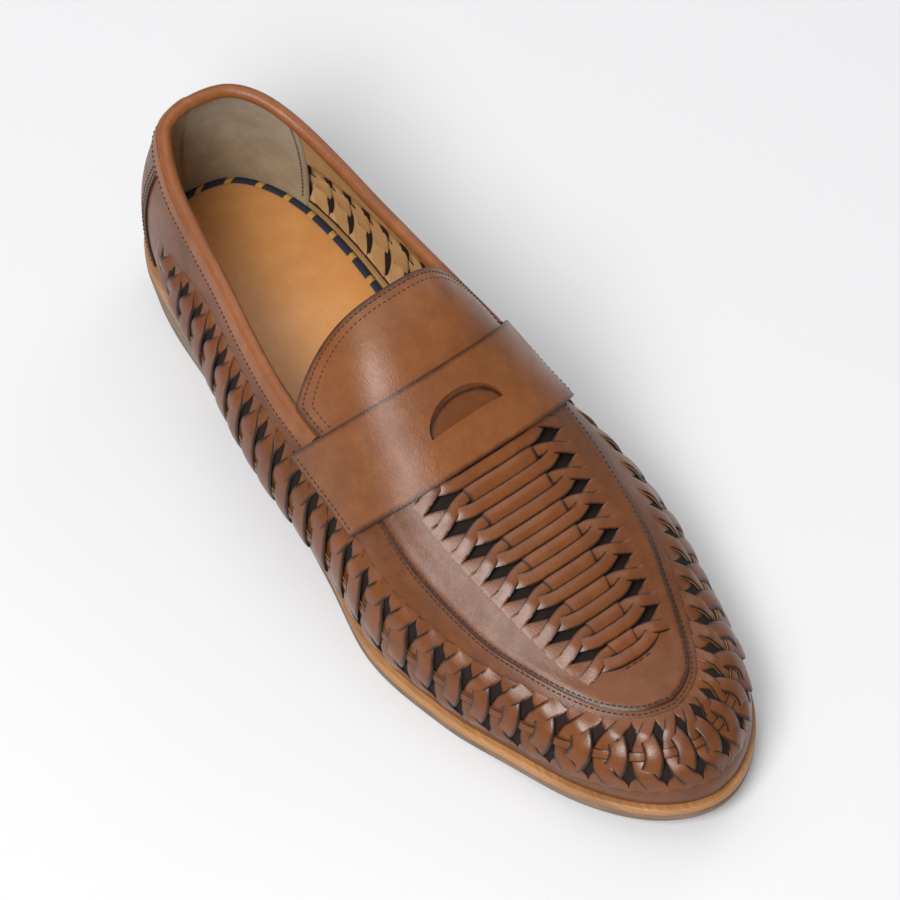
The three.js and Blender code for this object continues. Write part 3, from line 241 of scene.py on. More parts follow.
@dataclass
class Last:
    """Form of the foot that the shoe is worked on. All sizes are in millimetres."""

    length: float = 300.0
    ball: float = 100.0
    instep: float = 122.0
    back: float = 86.0
    side_bulge: float = 10.0
    heel_rise: float = 17.0
    heel_length: float = 70.0
    sole: float = 6.5
    welt_margin: float = 2.5
    spring: float = 8.5
    swing: float = 3.4
    swing_start: float = 0.45
    heel_centre: float = 35.0
    toe_centre: float = 43.0
    softness: float = 9.0
    band: float = 40.0
    bead: float = 2.2
    gap: float = 0.3
    wall: float = 1.8
    apron_step: float = 0.8
    weave_start: float = 46.0
    units: int = 26
    throat_station: float = 160.0
    throat_blend: float = 29.0
    strap_tilt: float = 0.59

    def __post_init__(self) -> None:
        """Make the curves and look-up tables."""
        last = {c: np.array([r[i] for r in LAST_ROWS]) for i, c in enumerate(LAST_COLUMNS)}
        edge = {c: np.array([r[i] for r in EDGE_ROWS]) for i, c in enumerate(EDGE_COLUMNS)}
        at = last["station"] * self.length
        self.ridge_z = Curve(at, last["ridge"] * self.instep)
        self.ridge_x = Curve(at, last["ridge_x"] * self.ball)
        self.power = Curve(at, last["power"])
        self.bulges = [Curve(at, last[c] * self.side_bulge) for c in ("bulge_lateral", "bulge_medial")]
        self.seat = Curve(at, last["seat"] * self.heel_rise)
        self.tip = Curve(at, last["tip"] * self.spring)
        at = edge["station"] * self.length
        self.hem_curve = Curve(at, edge["hem"] * self.band)
        self.crests = [Curve(at, edge[c] * self.band) for c in ("crest_lateral", "crest_medial")]
        self.seams = [Curve(at, edge[c] * self.band) for c in ("seam_lateral", "seam_medial")]
        self.topline_z = Curve(at, edge["topline"] * self.back)
        self.pitch = Curve(PITCH_COUNTS, PITCH_SHARES)
        self.widths = []
        for own, other in ((OUTLINE_LATERAL, OUTLINE_MEDIAL), (OUTLINE_MEDIAL, OUTLINE_LATERAL)):
            steps = len(own) - 1
            turns = np.arange(-1, steps + 2) * math.pi / steps
            self.widths.append(Curve(turns, (-other[1], *own, -other[steps - 1])))
        self.turns = np.linspace(0, math.pi, 601)
        self.lengths = [run_length(self._plan(i, side, self.turns)) for i, side in enumerate(SIDES)]
        self.side_length = (self.lengths[0][-1] + self.lengths[1][-1]) / 2
        self._make_tables()

    def _plan(self, index: int, side: float, turn: Array) -> Array:
        """Return the outline's point at each turning angle."""
        y = self.length * (1 - np.cos(turn)) / 2
        forward = np.maximum(0, (y / self.length - self.swing_start) / (1 - self.swing_start))
        x = side * self.widths[index](turn) * self.ball + self.swing * forward * forward
        return np.stack([x, y], -1)

    def _half(self, index: int, side: float, q: Array, offset: Array) -> Array:
        """Return points of one half outline, moved outward by the offset."""
        lengths = self.lengths[index]
        turn = np.interp(q * lengths[-1], lengths, self.turns)
        step = 0.002
        along = unit(self._plan(index, side, turn + step) - self._plan(index, side, turn - step))
        normal = np.stack([along[..., 1], -along[..., 0]], -1) * side
        return self._plan(index, side, turn) + normal * np.asarray(offset)[..., None]

    def outline(self, side: Array, q: Array, offset: Array = 0.0) -> Array:
        """Return the outline's point in plan.

        Args:
            side: 1 for the outer side of the foot, -1 for the inner.
            q: Share of the side's length, from the back of the heel to the tip of the toe.
            offset: Distance outward.

        Returns:
            Points in plan.
        """
        side, q, offset = np.broadcast_arrays(np.asarray(side, float), q, offset)
        a = self._half(0, LATERAL, q, offset)
        b = self._half(1, MEDIAL, q, offset)
        return np.where((side > 0)[..., None], a, b)

    def tread(self, y: Array) -> Array:
        """Return the height of the tread at distance y from the back."""
        return np.maximum(0, self.seat(y)) + np.maximum(0, self.tip(y))

    def spine(self, q: Array) -> Array:
        """Return the station at which the section through share q meets the ridge."""
        y = (self._half(0, LATERAL, q, 0.0)[..., 1] + self._half(1, MEDIAL, q, 0.0)[..., 1]) / 2
        s = self.softness
        rear = s * np.log1p(np.exp((y - self.heel_centre) / s))
        front = s * np.log1p(np.exp((y - (self.length - self.toe_centre)) / s))
        return self.heel_centre + rear - front

    @staticmethod
    def fold(side: Array, q: Array) -> tuple[Array, Array]:
        """Carry a share that runs past the heel or the toe over to the other side."""
        side, q = np.broadcast_arrays(np.asarray(side, float), np.asarray(q, float))
        past = (q < 0) | (q > 1)
        side = np.where(past, -side, side)
        q = np.where(q < 0, -q, np.where(q > 1, 2 - q, q))
        return side, q

    def point(self, side: Array, q: Array, t: Array) -> Array:
        """Return points of the last.

        Args:
            side: 1 or -1.
            q: Share along the foot.
            t: Share up the section, 0 at the welt and 1 at the ridge.

        Returns:
            Points in space.
        """
        side, q = self.fold(side, q)
        side, q, t = np.broadcast_arrays(side, q, np.asarray(t, float))
        side = np.where(t > 1, -side, side)
        t = np.where(t > 1, 2 - t, t)
        foot = self.outline(side, q, -self.welt_margin)
        station = self.spine(q)
        inward = np.stack([self.ridge_x(station), station], -1) - foot
        outward = -unit(inward)
        share = 2 / self.power(station)
        angle = np.clip(t, 0, 1) * math.pi / 2
        across = 1 - np.power(np.maximum(np.cos(angle), 0), share)
        up = np.power(np.sin(angle), share)
        bulge = np.where(side > 0, self.bulges[0](station), self.bulges[1](station))
        swell = bulge * BULGE_GAIN * up * (1 - up) ** 2
        base = self.tread(foot[..., 1]) + self.sole
        plan = foot + inward * across[..., None] + outward * swell[..., None]
        z = base + (self.ridge_z(station) - base) * up
        return np.concatenate([plan, z[..., None]], -1)

    def normal(self, side: Array, q: Array, t: Array) -> Array:
        """Return outward normals of the last."""
        dq, dt = 0.004, 0.006
        along = self.point(side, q + dq, t) - self.point(side, q - dq, t)
        up = self.point(side, q, t + dt) - self.point(side, q, np.maximum(t - dt, 0))
        return unit(np.cross(along, up) * np.broadcast_to(side, along.shape[:-1])[..., None])

    def skin(self, side: Array, q: Array, t: Array, offset: Array) -> Array:
        """Return points at a height above the last."""
        return self.point(side, q, t) + self.normal(side, q, t) * np.asarray(offset)[..., None]

    def _make_tables(self) -> None:
        """Tabulate lengths up the wall, the topline and the seam."""
        self.q_grid = np.linspace(0, 1, 241)
        t_grid = np.linspace(0, 1, 241)
        self.t_grid = t_grid
        self.arc_grid = np.arange(0, LONGEST_ARC + 1, 1.0)
        self.arcs, self.shares, self.tops, self.seam_shares = [], [], [], []
        for i, side in enumerate(SIDES):
            p = self.point(side, self.q_grid[:, None], t_grid[None, :])
            arc = run_length(p, 1)
            self.arcs.append(arc)
            self.shares.append(np.array([np.interp(self.arc_grid, row, t_grid) for row in arc]))
            y = self.outline(side, self.q_grid)[:, 1]
            height = self.topline_z(y) - 2 * self.bead - self.gap
            top = np.array([np.interp(h, row[:, 2], t_grid) for h, row in zip(height, p)])
            seam_arc = self.seams[i](y)
            seam = np.array([np.interp(a, row, t_grid) for a, row in zip(seam_arc, arc)])
            blend = smoothstep(y, self.throat_station - self.throat_blend, self.throat_station)
            self.tops.append(top + (seam - top) * blend)
            self.seam_shares.append(seam)

    def _look(self, tables: list[Array], side: Array, q: Array, column: Array) -> Array:
        """Read a table of rows over q at fractional rows and columns."""
        row = np.clip(q, 0, 1) * (len(self.q_grid) - 1)
        i = np.clip(row.astype(int), 0, len(self.q_grid) - 2)
        j = np.clip(column.astype(int), 0, tables[0].shape[1] - 2)
        u, v = row - i, np.clip(column - j, 0, 1)
        out = []
        for t in tables:
            low = t[i, j] * (1 - v) + t[i, j + 1] * v
            high = t[i + 1, j] * (1 - v) + t[i + 1, j + 1] * v
            out.append(low * (1 - u) + high * u)
        return np.where(side > 0, out[0], out[1])

    def share(self, side: Array, q: Array, arc: Array) -> Array:
        """Return t at a length up the wall."""
        side, q = self.fold(side, q)
        side, q, arc = np.broadcast_arrays(side, q, np.asarray(arc, float))
        return self._look(self.shares, side, q, np.clip(arc, 0, LONGEST_ARC - 0.1))

    def arc(self, side: Array, q: Array, t: Array) -> Array:
        """Return the length up the wall at t."""
        side, q = self.fold(side, q)
        side, q, t = np.broadcast_arrays(side, q, np.asarray(t, float))
        return self._look(self.arcs, side, q, np.clip(t, 0, 1) * (len(self.t_grid) - 1))

    def _along(self, tables: list[Array], side: Array, q: Array) -> Array:
        """Read a table over q alone."""
        side, q = self.fold(side, q)
        a = np.interp(q, self.q_grid, tables[0])
        b = np.interp(q, self.q_grid, tables[1])
        return np.where(side > 0, a, b)

    def _at_outline(self, curves: list[Curve], side: Array, q: Array) -> Array:
        """Read the curve of a side at the outline."""
        side, q = self.fold(side, q)
        y = self.outline(side, q)[..., 1]
        return np.where(side > 0, curves[0](y), curves[1](y))

    def top_arc(self, side: Array, q: Array) -> Array:
        """Return the length up to the topline, or to the apron's seam in front of the throat."""
        return self.arc(side, q, self._along(self.tops, side, q))

    def seam_arc(self, side: Array, q: Array) -> Array:
        """Return the length up to the apron's seam."""
        return self._at_outline(self.seams, side, q)

    def crest_arc(self, side: Array, q: Array) -> Array:
        """Return the length up to the upper edge of the woven band."""
        return self._at_outline(self.crests, side, q)

    def hem_arc(self, side: Array, q: Array) -> Array:
        """Return the length up to the lower edge of the woven band."""
        side, q = self.fold(side, q)
        return self.hem_curve(self.outline(side, q)[..., 1])

    @property
    def first_unit(self) -> float:
        """Share at which the weave starts."""
        return self.weave_start / self.side_length

    @property
    def throat(self) -> float:
        """Share at which the collar ends and the apron starts."""
        q = np.linspace(0.3, 0.8, 800)
        y = (self.outline(LATERAL, q)[:, 1] + self.outline(MEDIAL, q)[:, 1]) / 2
        return float(np.interp(self.throat_station, y, q))

    def lay(self, side: Array, q: Array, arc: Array, offset: Array = 0.0) -> Array:
        """Return points at a share along, a length up and a height above the last."""
        side, q, arc, offset = np.broadcast_arrays(np.asarray(side, float), q, arc, offset)
        return self.skin(side, q, self.share(side, q, arc), offset)

    def facing(self, side: Array, q: Array, arc: Array) -> Array:
        """Return outward normals at a share along and a length up."""
        side, q, arc = np.broadcast_arrays(np.asarray(side, float), q, arc)
        return self.normal(side, q, self.share(side, q, arc))

    def under(self, x: Array, y: Array) -> tuple[Array, Array, Array]:
        """Find the place on the last under points in plan, on the top of the foot.

        Args:
            x: Distances across.
            y: Distances from the back.

        Returns:
            Side, share along and share up.
        """
        x, y = np.broadcast_arrays(np.asarray(x, float), np.asarray(y, float))
        side = np.where(x > self.ridge_x(y), LATERAL, MEDIAL)
        fine = np.linspace(0, 1, 2001)
        q = np.interp(y, self.spine(fine), fine)
        t = np.full_like(q, 0.7)
        for _ in range(25):
            here = self.point(side, q, t)
            a = (self.point(side, q + 0.002, t) - here) / 0.002
            b = (self.point(side, q, t - 0.004) - here) / -0.004
            det = a[..., 0] * b[..., 1] - a[..., 1] * b[..., 0]
            det = np.where(np.abs(det) < 1e-6, 1e9, det)
            ex, ey = x - here[..., 0], y - here[..., 1]
            q = np.clip(q + 0.8 * (ex * b[..., 1] - ey * b[..., 0]) / det, 0.02, 0.99)
            t = np.clip(t + 0.8 * (a[..., 0] * ey - a[..., 1] * ex) / det, 0.1, 0.999)
        return side, q, t

    def section(self, t: Array, side: Array, station: Array) -> Array:
        """Return the share at which a plane leaned like the strap meets t."""
        t, side, station = np.broadcast_arrays(t, side, np.asarray(station, float))
        low = np.full(t.shape, 0.2)
        high = np.full(t.shape, 0.95)
        crown = self.ridge_z(station)
        for _ in range(30):
            mid = (low + high) / 2
            p = self.point(side, mid, t)
            behind = p[..., 1] - self.strap_tilt * (p[..., 2] - crown) < station
            low = np.where(behind, mid, low)
            high = np.where(behind, high, mid)
        return (low + high) / 2


def to_frame(points: Array, last: Last) -> Array:
    """Turn millimetres from the heel's back into metres in the frame."""
    moved = np.array(points, float)
    moved[..., 1] -= last.heel_centre
    return moved * MM


def linear(hex_colour: str) -> tuple[float, float, float, float]:
    """Return a linear colour from six hex digits."""
    parts = [int(hex_colour[i : i + 2], 16) / 255 for i in (0, 2, 4)]
    turned = [c / 12.92 if c <= 0.04045 else ((c + 0.055) / 1.055) ** 2.4 for c in parts]
    return (*turned, 1.0)


class Nodes:
    """Short way to add and join shader nodes in one tree."""

    def __init__(self, tree: Tree) -> None:
        """Keep the tree."""
        self.tree = tree

    def put(self, node: Node, inputs: dict[str | int, object]) -> None:
        """Set or link inputs of a node, each given by its name or number."""
        for key, value in inputs.items():
            if isinstance(value, Socket):
                self.tree.links.new(value, node.inputs[key])
            else:
                node.inputs[key].default_value = value

    def add(self, kind: str, inputs: dict[str | int, object] | None = None, **props: object) -> Node:
        """Add a node, set its properties and set or link its inputs.

        Args:
            kind: Node type.
            inputs: Input name or number to a value or an output socket.
            props: Properties of the node.

        Returns:
            The node.
        """
        node = self.tree.nodes.new(kind)
        for name, value in props.items():
            setattr(node, name, value)
        self.put(node, inputs or {})
        return node

    def math(self, operation: str, a: object, b: object, clamp: bool = False) -> Socket:
        """Return the output of a Math node."""
        return self.add("ShaderNodeMath", {0: a, 1: b}, operation=operation, use_clamp=clamp).outputs[0]

    def plus(self, a: object, b: object) -> Socket:
        """Return the sum of two values."""
        return self.math("ADD", a, b)

    def times(self, a: object, b: object) -> Socket:
        """Return the product of two values."""
        return self.math("MULTIPLY", a, b)

    def noise(
        self, vector: Socket, scale: float, detail: float = 3.0, rough: float = 0.5, warp: float = 0.0
    ) -> Socket:
        """Return the value of a noise pattern."""
        values = {"Vector": vector, "Scale": scale, "Detail": detail, "Roughness": rough, "Distortion": warp}
        return self.add("ShaderNodeTexNoise", values).outputs["Fac"]

    def ramp(self, value: Socket, low: float, high: float) -> Socket:
        """Return a value stretched from low..high to 0..1."""
        values = {"Value": value, "From Min": low, "From Max": high}
        return self.add("ShaderNodeMapRange", values, interpolation_type="SMOOTHSTEP").outputs["Result"]

    def mix(self, share: Socket, a: object, b: object) -> Socket:
        """Return a mix of two colours."""
        return self.add("ShaderNodeMix", {0: share, 6: a, 7: b}, data_type="RGBA").outputs[2]

    def stretch(self, vector: Socket, *scale: float) -> Socket:
        """Return a place scaled by its own factor along each axis."""
        return self.add("ShaderNodeMapping", {"Vector": vector, "Scale": scale}).outputs[0]


class Effects:
    """Shader node groups that several finishes use."""

    def __init__(self) -> None:
        """Build all groups."""
        self.hide = self._hide()
        self.tone = self._tone()
        self.wear_and_shade = self._wear_and_shade()

    @staticmethod
    def _start(name: str, inputs: dict[str, object]) -> tuple[Nodes, bpy.types.bpy_prop_collection]:
        """Make an empty group with its inputs.

        Args:
            name: Group name.
            inputs: Input name to its default: a number, a colour, or None for a vector.

        Returns:
            The node helper of the group and the sockets that give its inputs.
        """
        n = Nodes(bpy.data.node_groups.new(name, "ShaderNodeTree"))
        for label, value in inputs.items():
            kind = {float: "Float", tuple: "Color"}.get(type(value), "Vector")
            socket = n.tree.interface.new_socket(label, in_out="INPUT", socket_type=f"NodeSocket{kind}")
            if value is not None:
                socket.default_value = value
        return n, n.add("NodeGroupInput").outputs

    @staticmethod
    def _end(n: Nodes, **outputs: Socket) -> Tree:
        """Give a group its outputs and return it."""
        for label in outputs:
            kind = "Color" if label == "Color" else "Float"
            n.tree.interface.new_socket(label, in_out="OUTPUT", socket_type=f"NodeSocket{kind}")
        n.add("NodeGroupOutput", outputs)
        return n.tree

    def _hide(self) -> Tree:
        """Return the height of leather grain: pebbles, pores and fine creases."""
        n, given = self._start("hide_grain", {"Vector": None, "Scale": 1.0, "Creases": 0.5})
        values = {0: given["Vector"], "Scale": given["Scale"]}
        place = n.add("ShaderNodeVectorMath", values, operation="SCALE").outputs[0]
        pebbles = n.add("ShaderNodeTexVoronoi", {"Vector": place, "Scale": 1500.0}, feature="SMOOTH_F1")
        pores = n.noise(place, 3200.0, 2.0)
        folds = n.ramp(n.noise(n.stretch(place, 1.0, 0.3, 1.0), 230.0, 4.0, 0.6, 0.6), 0.35, 0.7)
        skin = n.plus(n.times(pebbles.outputs["Distance"], 0.5), n.times(pores, 0.35))
        return self._end(n, Height=n.plus(skin, n.times(folds, given["Creases"])))

    def _tone(self) -> Tree:
        """Return uneven dyeing: broad clouds and small flecks between three tones."""
        tones = {"Deep": (0.1, 0.03, 0.01, 1), "Body": (0.3, 0.1, 0.03, 1), "Pale": (0.4, 0.18, 0.08, 1)}
        n, given = self._start("hide_tone", {"Vector": None, **tones, "Unevenness": 0.5})
        place = given["Vector"]
        broad = n.ramp(n.noise(place, 22.0, 3.0, 0.55, 0.4), 0.3, 0.72)
        fine = n.ramp(n.noise(place, 140.0, 4.0, 0.6, 0.2), 0.35, 0.75)
        fleck = n.ramp(n.noise(place, 900.0, 2.0), 0.3, 0.8)
        clouded = n.times(n.math("SUBTRACT", 1.0, broad), given["Unevenness"])
        base = n.mix(clouded, given["Body"], given["Deep"])
        paled = n.mix(n.times(fine, n.times(given["Unevenness"], 0.6)), base, given["Pale"])
        return self._end(n, Color=n.mix(n.times(fleck, 0.12), paled, given["Deep"]), Cloud=broad)

    def _wear_and_shade(self) -> Tree:
        """Return darker colour along the rims: edges darkened by rubbing and handling, and painted shade
        where a piece's rim values mark it.
        """
        colours = {"Color": (0.3, 0.1, 0.03, 1), "Edge": (0.06, 0.02, 0.01, 1)}
        n, given = self._start("edge_wear_and_shade", {**colours, "Rim": 0.0, "Amount": 0.6, "Vector": None})
        uneven = n.times(n.math("SUBTRACT", n.noise(given["Vector"], 300.0, 2.0), 0.5), 0.5)
        share = n.times(n.ramp(n.plus(given["Rim"], uneven), 0.15, 1.0), given["Amount"])
        return self._end(n, Color=n.mix(share, given["Color"], given["Edge"]))


class Look(Nodes):
    """Material with one Principled shader, and the wiring that finishes share."""

    def __init__(self, name: str) -> None:
        """Make the material with its shader and output."""
        self.material = bpy.data.materials.new(name)
        self.material.use_nodes = True
        super().__init__(self.material.node_tree)
        self.tree.nodes.clear()
        self.surface = self.add("ShaderNodeBsdfPrincipled")
        self.add("ShaderNodeOutputMaterial", {0: self.surface.outputs[0]})

    def place(self) -> Socket:
        """Return the place on the object."""
        return self.add("ShaderNodeTexCoord").outputs["Object"]

    def unrolled(self) -> Socket:
        """Return the place on the unrolled surface."""
        return self.add("ShaderNodeUVMap", uv_map="UVMap").outputs[0]

    def worn_and_shaded(self, effects: Effects, tone: Socket, place: Socket, edge: str, amount: float) -> None:
        """Colour the surface darker along its rims: edges darkened by rubbing and handling, and painted shade
        where the rim values mark it.

        Args:
            effects: The shared groups.
            tone: Colour away from the rims.
            place: Place on the object.
            edge: Colour of the rims in hex digits.
            amount: Strength of the darkening at the rims, for wear and painted shade alike.
        """
        rim = self.add("ShaderNodeAttribute", attribute_name="rim").outputs["Fac"]
        values = {"Color": tone, "Edge": linear(edge), "Rim": rim, "Amount": amount, "Vector": place}
        darkened = self.add("ShaderNodeGroup", values, node_tree=effects.wear_and_shade)
        self.put(self.surface, {"Base Color": darkened.outputs["Color"]})

    def relief(self, height: Socket, strength: float, depth: float) -> None:
        """Give the surface fine relief, with its depth in millimetres."""
        bump = self.add("ShaderNodeBump", {"Strength": strength, "Distance": depth * MM, "Height": height})
        self.put(self.surface, {"Normal": bump.outputs[0]})


@dataclass(frozen=True)
class Leather:
    """Dyed leather with grain, uneven tone and darker rims: edges darkened by rubbing and handling, and
    painted shade where a piece marks it. Its colours are hex digits.
    """

    finish: Finish
    deep: str
    body: str
    pale: str
    edge: str
    unevenness: float = 0.55
    wear_and_shade: float = 0.6
    roughness: float = 0.42
    spread: float = 0.14
    grain: float = 1.0
    creases: float = 0.4
    bump: float = 0.25
    coat: float = 0.08
    sheen: float = 0.0
    shine: float = 0.36

    def build(self, effects: Effects) -> Material:
        """Return the material."""
        look = Look(self.finish.value)
        place = look.place()
        tones = {"Deep": linear(self.deep), "Body": linear(self.body), "Pale": linear(self.pale)}
        values = {"Vector": place, **tones, "Unevenness": self.unevenness}
        tone = look.add("ShaderNodeGroup", values, node_tree=effects.tone)
        look.worn_and_shaded(effects, tone.outputs["Color"], place, self.edge, self.wear_and_shade)
        values = {"Vector": place, "Scale": self.grain, "Creases": self.creases}
        hide = look.add("ShaderNodeGroup", values, node_tree=effects.hide)
        look.relief(hide.outputs["Height"], self.bump, 0.4)
        clouded = look.times(look.math("SUBTRACT", tone.outputs["Cloud"], 0.5), -self.spread)
        worn = look.times(look.noise(place, 420.0), self.spread)
        rough = look.math("ADD", look.plus(clouded, worn), self.roughness - self.spread / 2, clamp=True)
        coat = {"Coat Weight": self.coat, "Coat Roughness": 0.35, "Sheen Weight": self.sheen}
        look.put(look.surface, {"Roughness": rough, **coat, "Specular IOR Level": self.shine})
        return look.material


LEATHERS = (
    Leather(Finish.CALF, "502A13", "6C3B19", "865129", "28130A", wear_and_shade=0.85, roughness=0.4),
    Leather(
        Finish.STRIP, "522A13", "733F1B", "8E572C", "1A0C06",
        wear_and_shade=0.98, roughness=0.34, creases=0.2, bump=0.18, coat=0.14,
    ),
    Leather(
        Finish.STRAP, "60361A", "804A24", "9A6234", "28130A",
        unevenness=0.5, wear_and_shade=0.85, roughness=0.41, creases=0.5, bump=0.3, coat=0.12,
    ),
    Leather(Finish.BINDING, "6E3C1A", "8E522A", "A66C3E", "3A1C0E", wear_and_shade=0.5, creases=0.9, bump=0.35),
    Leather(
        Finish.FLESH, "A27A4C", "C29866", "D6B482", "6A4526",
        unevenness=0.5, wear_and_shade=0.5, roughness=0.72, spread=0.1, coat=0.0,
    ),
    Leather(
        Finish.SUEDE, "84705A", "A68E68", "BCA582", "66543F",
        unevenness=0.7, wear_and_shade=0.4, roughness=0.92, spread=0.06, grain=1.6, creases=0.2, bump=0.5, coat=0.0,
        sheen=0.3,
    ),
    Leather(
        Finish.SOCK, "B87A44", "CE9053", "DEA96E", "8A5C34",
        unevenness=0.45, wear_and_shade=0.4, roughness=0.4, grain=1.2, creases=0.2, bump=0.15,
    ),
    # Near-black painted shade for the sheets behind the gaps of the weave and the ladder, and for the toe
    # lining.
    Leather(
        Finish.SHADE, "160C07", "20130C", "2A1B12", "0C0704",
        unevenness=0.4, wear_and_shade=0.2, roughness=0.9, coat=0.0,
    ),
    Leather(
        Finish.TREAD, "6E5C4A", "857260", "978470", "4E4134",
        unevenness=0.8, roughness=0.7, creases=0.6, coat=0.0,
    ),
)


class Dresser:
    """Builds the finishes once and hands them to the pieces."""

    def __init__(self) -> None:
        """Build the shared effects and all finishes."""
        self.effects = Effects()
        self.materials = {leather.finish: leather.build(self.effects) for leather in LEATHERS}
        self.materials[Finish.WELT] = self._welt()
        self.materials[Finish.SOLE_EDGE] = self._sole_edge()
        self.materials[Finish.THREAD] = self._thread()
        self.materials[Finish.RIBBON] = self._ribbon()

    def _welt(self) -> Material:
        """Return the light tan edge of the welt, with long fine grain like cut leather."""
        look = Look(Finish.WELT.value)
        streaks = look.noise(look.stretch(look.unrolled(), 60.0, 2600.0, 1.0), 1.0, 4.0, 0.6, 0.8)
        grain = look.ramp(streaks, 0.3, 0.75)
        place = look.place()
        cloud = look.ramp(look.noise(place, 30.0), 0.35, 0.7)
        tone = look.mix(grain, linear("C28E5C"), linear("A8703F"))
        tone = look.mix(look.times(cloud, 0.5), tone, linear("754A27"))
        look.worn_and_shaded(self.effects, tone, place, "5A3318", 0.7)
        look.relief(grain, 0.3, 0.3)
        look.put(look.surface, {"Roughness": look.plus(look.times(grain, 0.15), 0.4)})
        return look.material

    def _sole_edge(self) -> Material:
        """Return the greyish edge of the outsole and of the stacked heel, with faint layer lines."""
        look = Look(Finish.SOLE_EDGE.value)
        place = look.place()
        lines = look.ramp(look.noise(look.stretch(place, 40.0, 40.0, 900.0), 1.0, 4.0, 0.65), 0.35, 0.7)
        cloud = look.ramp(look.noise(place, 45.0, 4.0, 0.6), 0.35, 0.7)
        tone = look.mix(look.times(lines, 0.6), linear("7E6853"), linear("98806A"))
        tone = look.mix(look.times(cloud, 0.45), tone, linear("544233"))
        look.worn_and_shaded(self.effects, tone, place, "3A2E24", 0.6)
        look.relief(lines, 0.35, 0.3)
        look.put(look.surface, {"Roughness": look.plus(look.times(cloud, 0.15), 0.5)})
        return look.material

    def _thread(self) -> Material:
        """Return waxed dark brown sewing thread with a fine twist."""
        look = Look(Finish.THREAD.value)
        wave = look.add("ShaderNodeTexWave", {"Vector": look.place(), "Scale": 1400.0, "Distortion": 3.0})
        twist = wave.outputs["Fac"]
        tone = look.mix(twist, linear("241209"), linear("422413"))
        look.put(look.surface, {"Base Color": tone, "Roughness": 0.6})
        look.relief(twist, 0.5, 0.2)
        return look.material

    def _ribbon(self) -> Material:
        """Return navy woven ribbon with regular ochre ticks."""
        look = Look(Finish.RIBBON.value)
        place = look.unrolled()
        along = look.add("ShaderNodeSeparateXYZ", {0: place}).outputs[0]
        beat = look.add("ShaderNodeMath", {0: look.times(along, 90.0)}, operation="FRACT").outputs[0]
        tone = look.mix(look.math("LESS_THAN", beat, 0.22), linear("1C2338"), linear("B98A3C"))
        look.put(look.surface, {"Base Color": tone, "Roughness": 0.7})
        fine = look.stretch(place, 2500.0, 2500.0, 1.0)
        weave = look.add("ShaderNodeTexChecker", {"Vector": fine, "Scale": 1.0}).outputs["Fac"]
        look.relief(weave, 0.5, 0.2)
        return look.material

    def dress(self, piece: Piece, *finishes: Finish) -> None:
        """Give a piece its finishes, one for each of its material slots."""
        slots = piece.data.materials
        for index, finish in enumerate(finishes):
            if index < len(slots):
                slots[index] = self.materials[finish]
            else:
                slots.append(self.materials[finish])
        while len(slots) > len(finishes):
            slots.pop(index=len(slots) - 1)


def only(piece: Piece) -> None:
    """Select one piece alone and make it active."""
    bpy.ops.object.select_all(action="DESELECT")
    piece.select_set(True)
    bpy.context.view_layer.objects.active = piece


def mark_rim(mesh: bpy.types.Mesh, rim: Array) -> None:
    """Store how much darker each corner of a mesh is, 0 to 1: nearness to an edge, or painted shade."""
    mesh.attributes.new("rim", "FLOAT", "POINT").data.foreach_set("value", rim.ravel().astype(float))


def fill_ends() -> None:
    """Fill the open ends of the mesh that is being edited."""
    bpy.ops.mesh.region_to_loop()
    bpy.ops.mesh.edge_face_add()


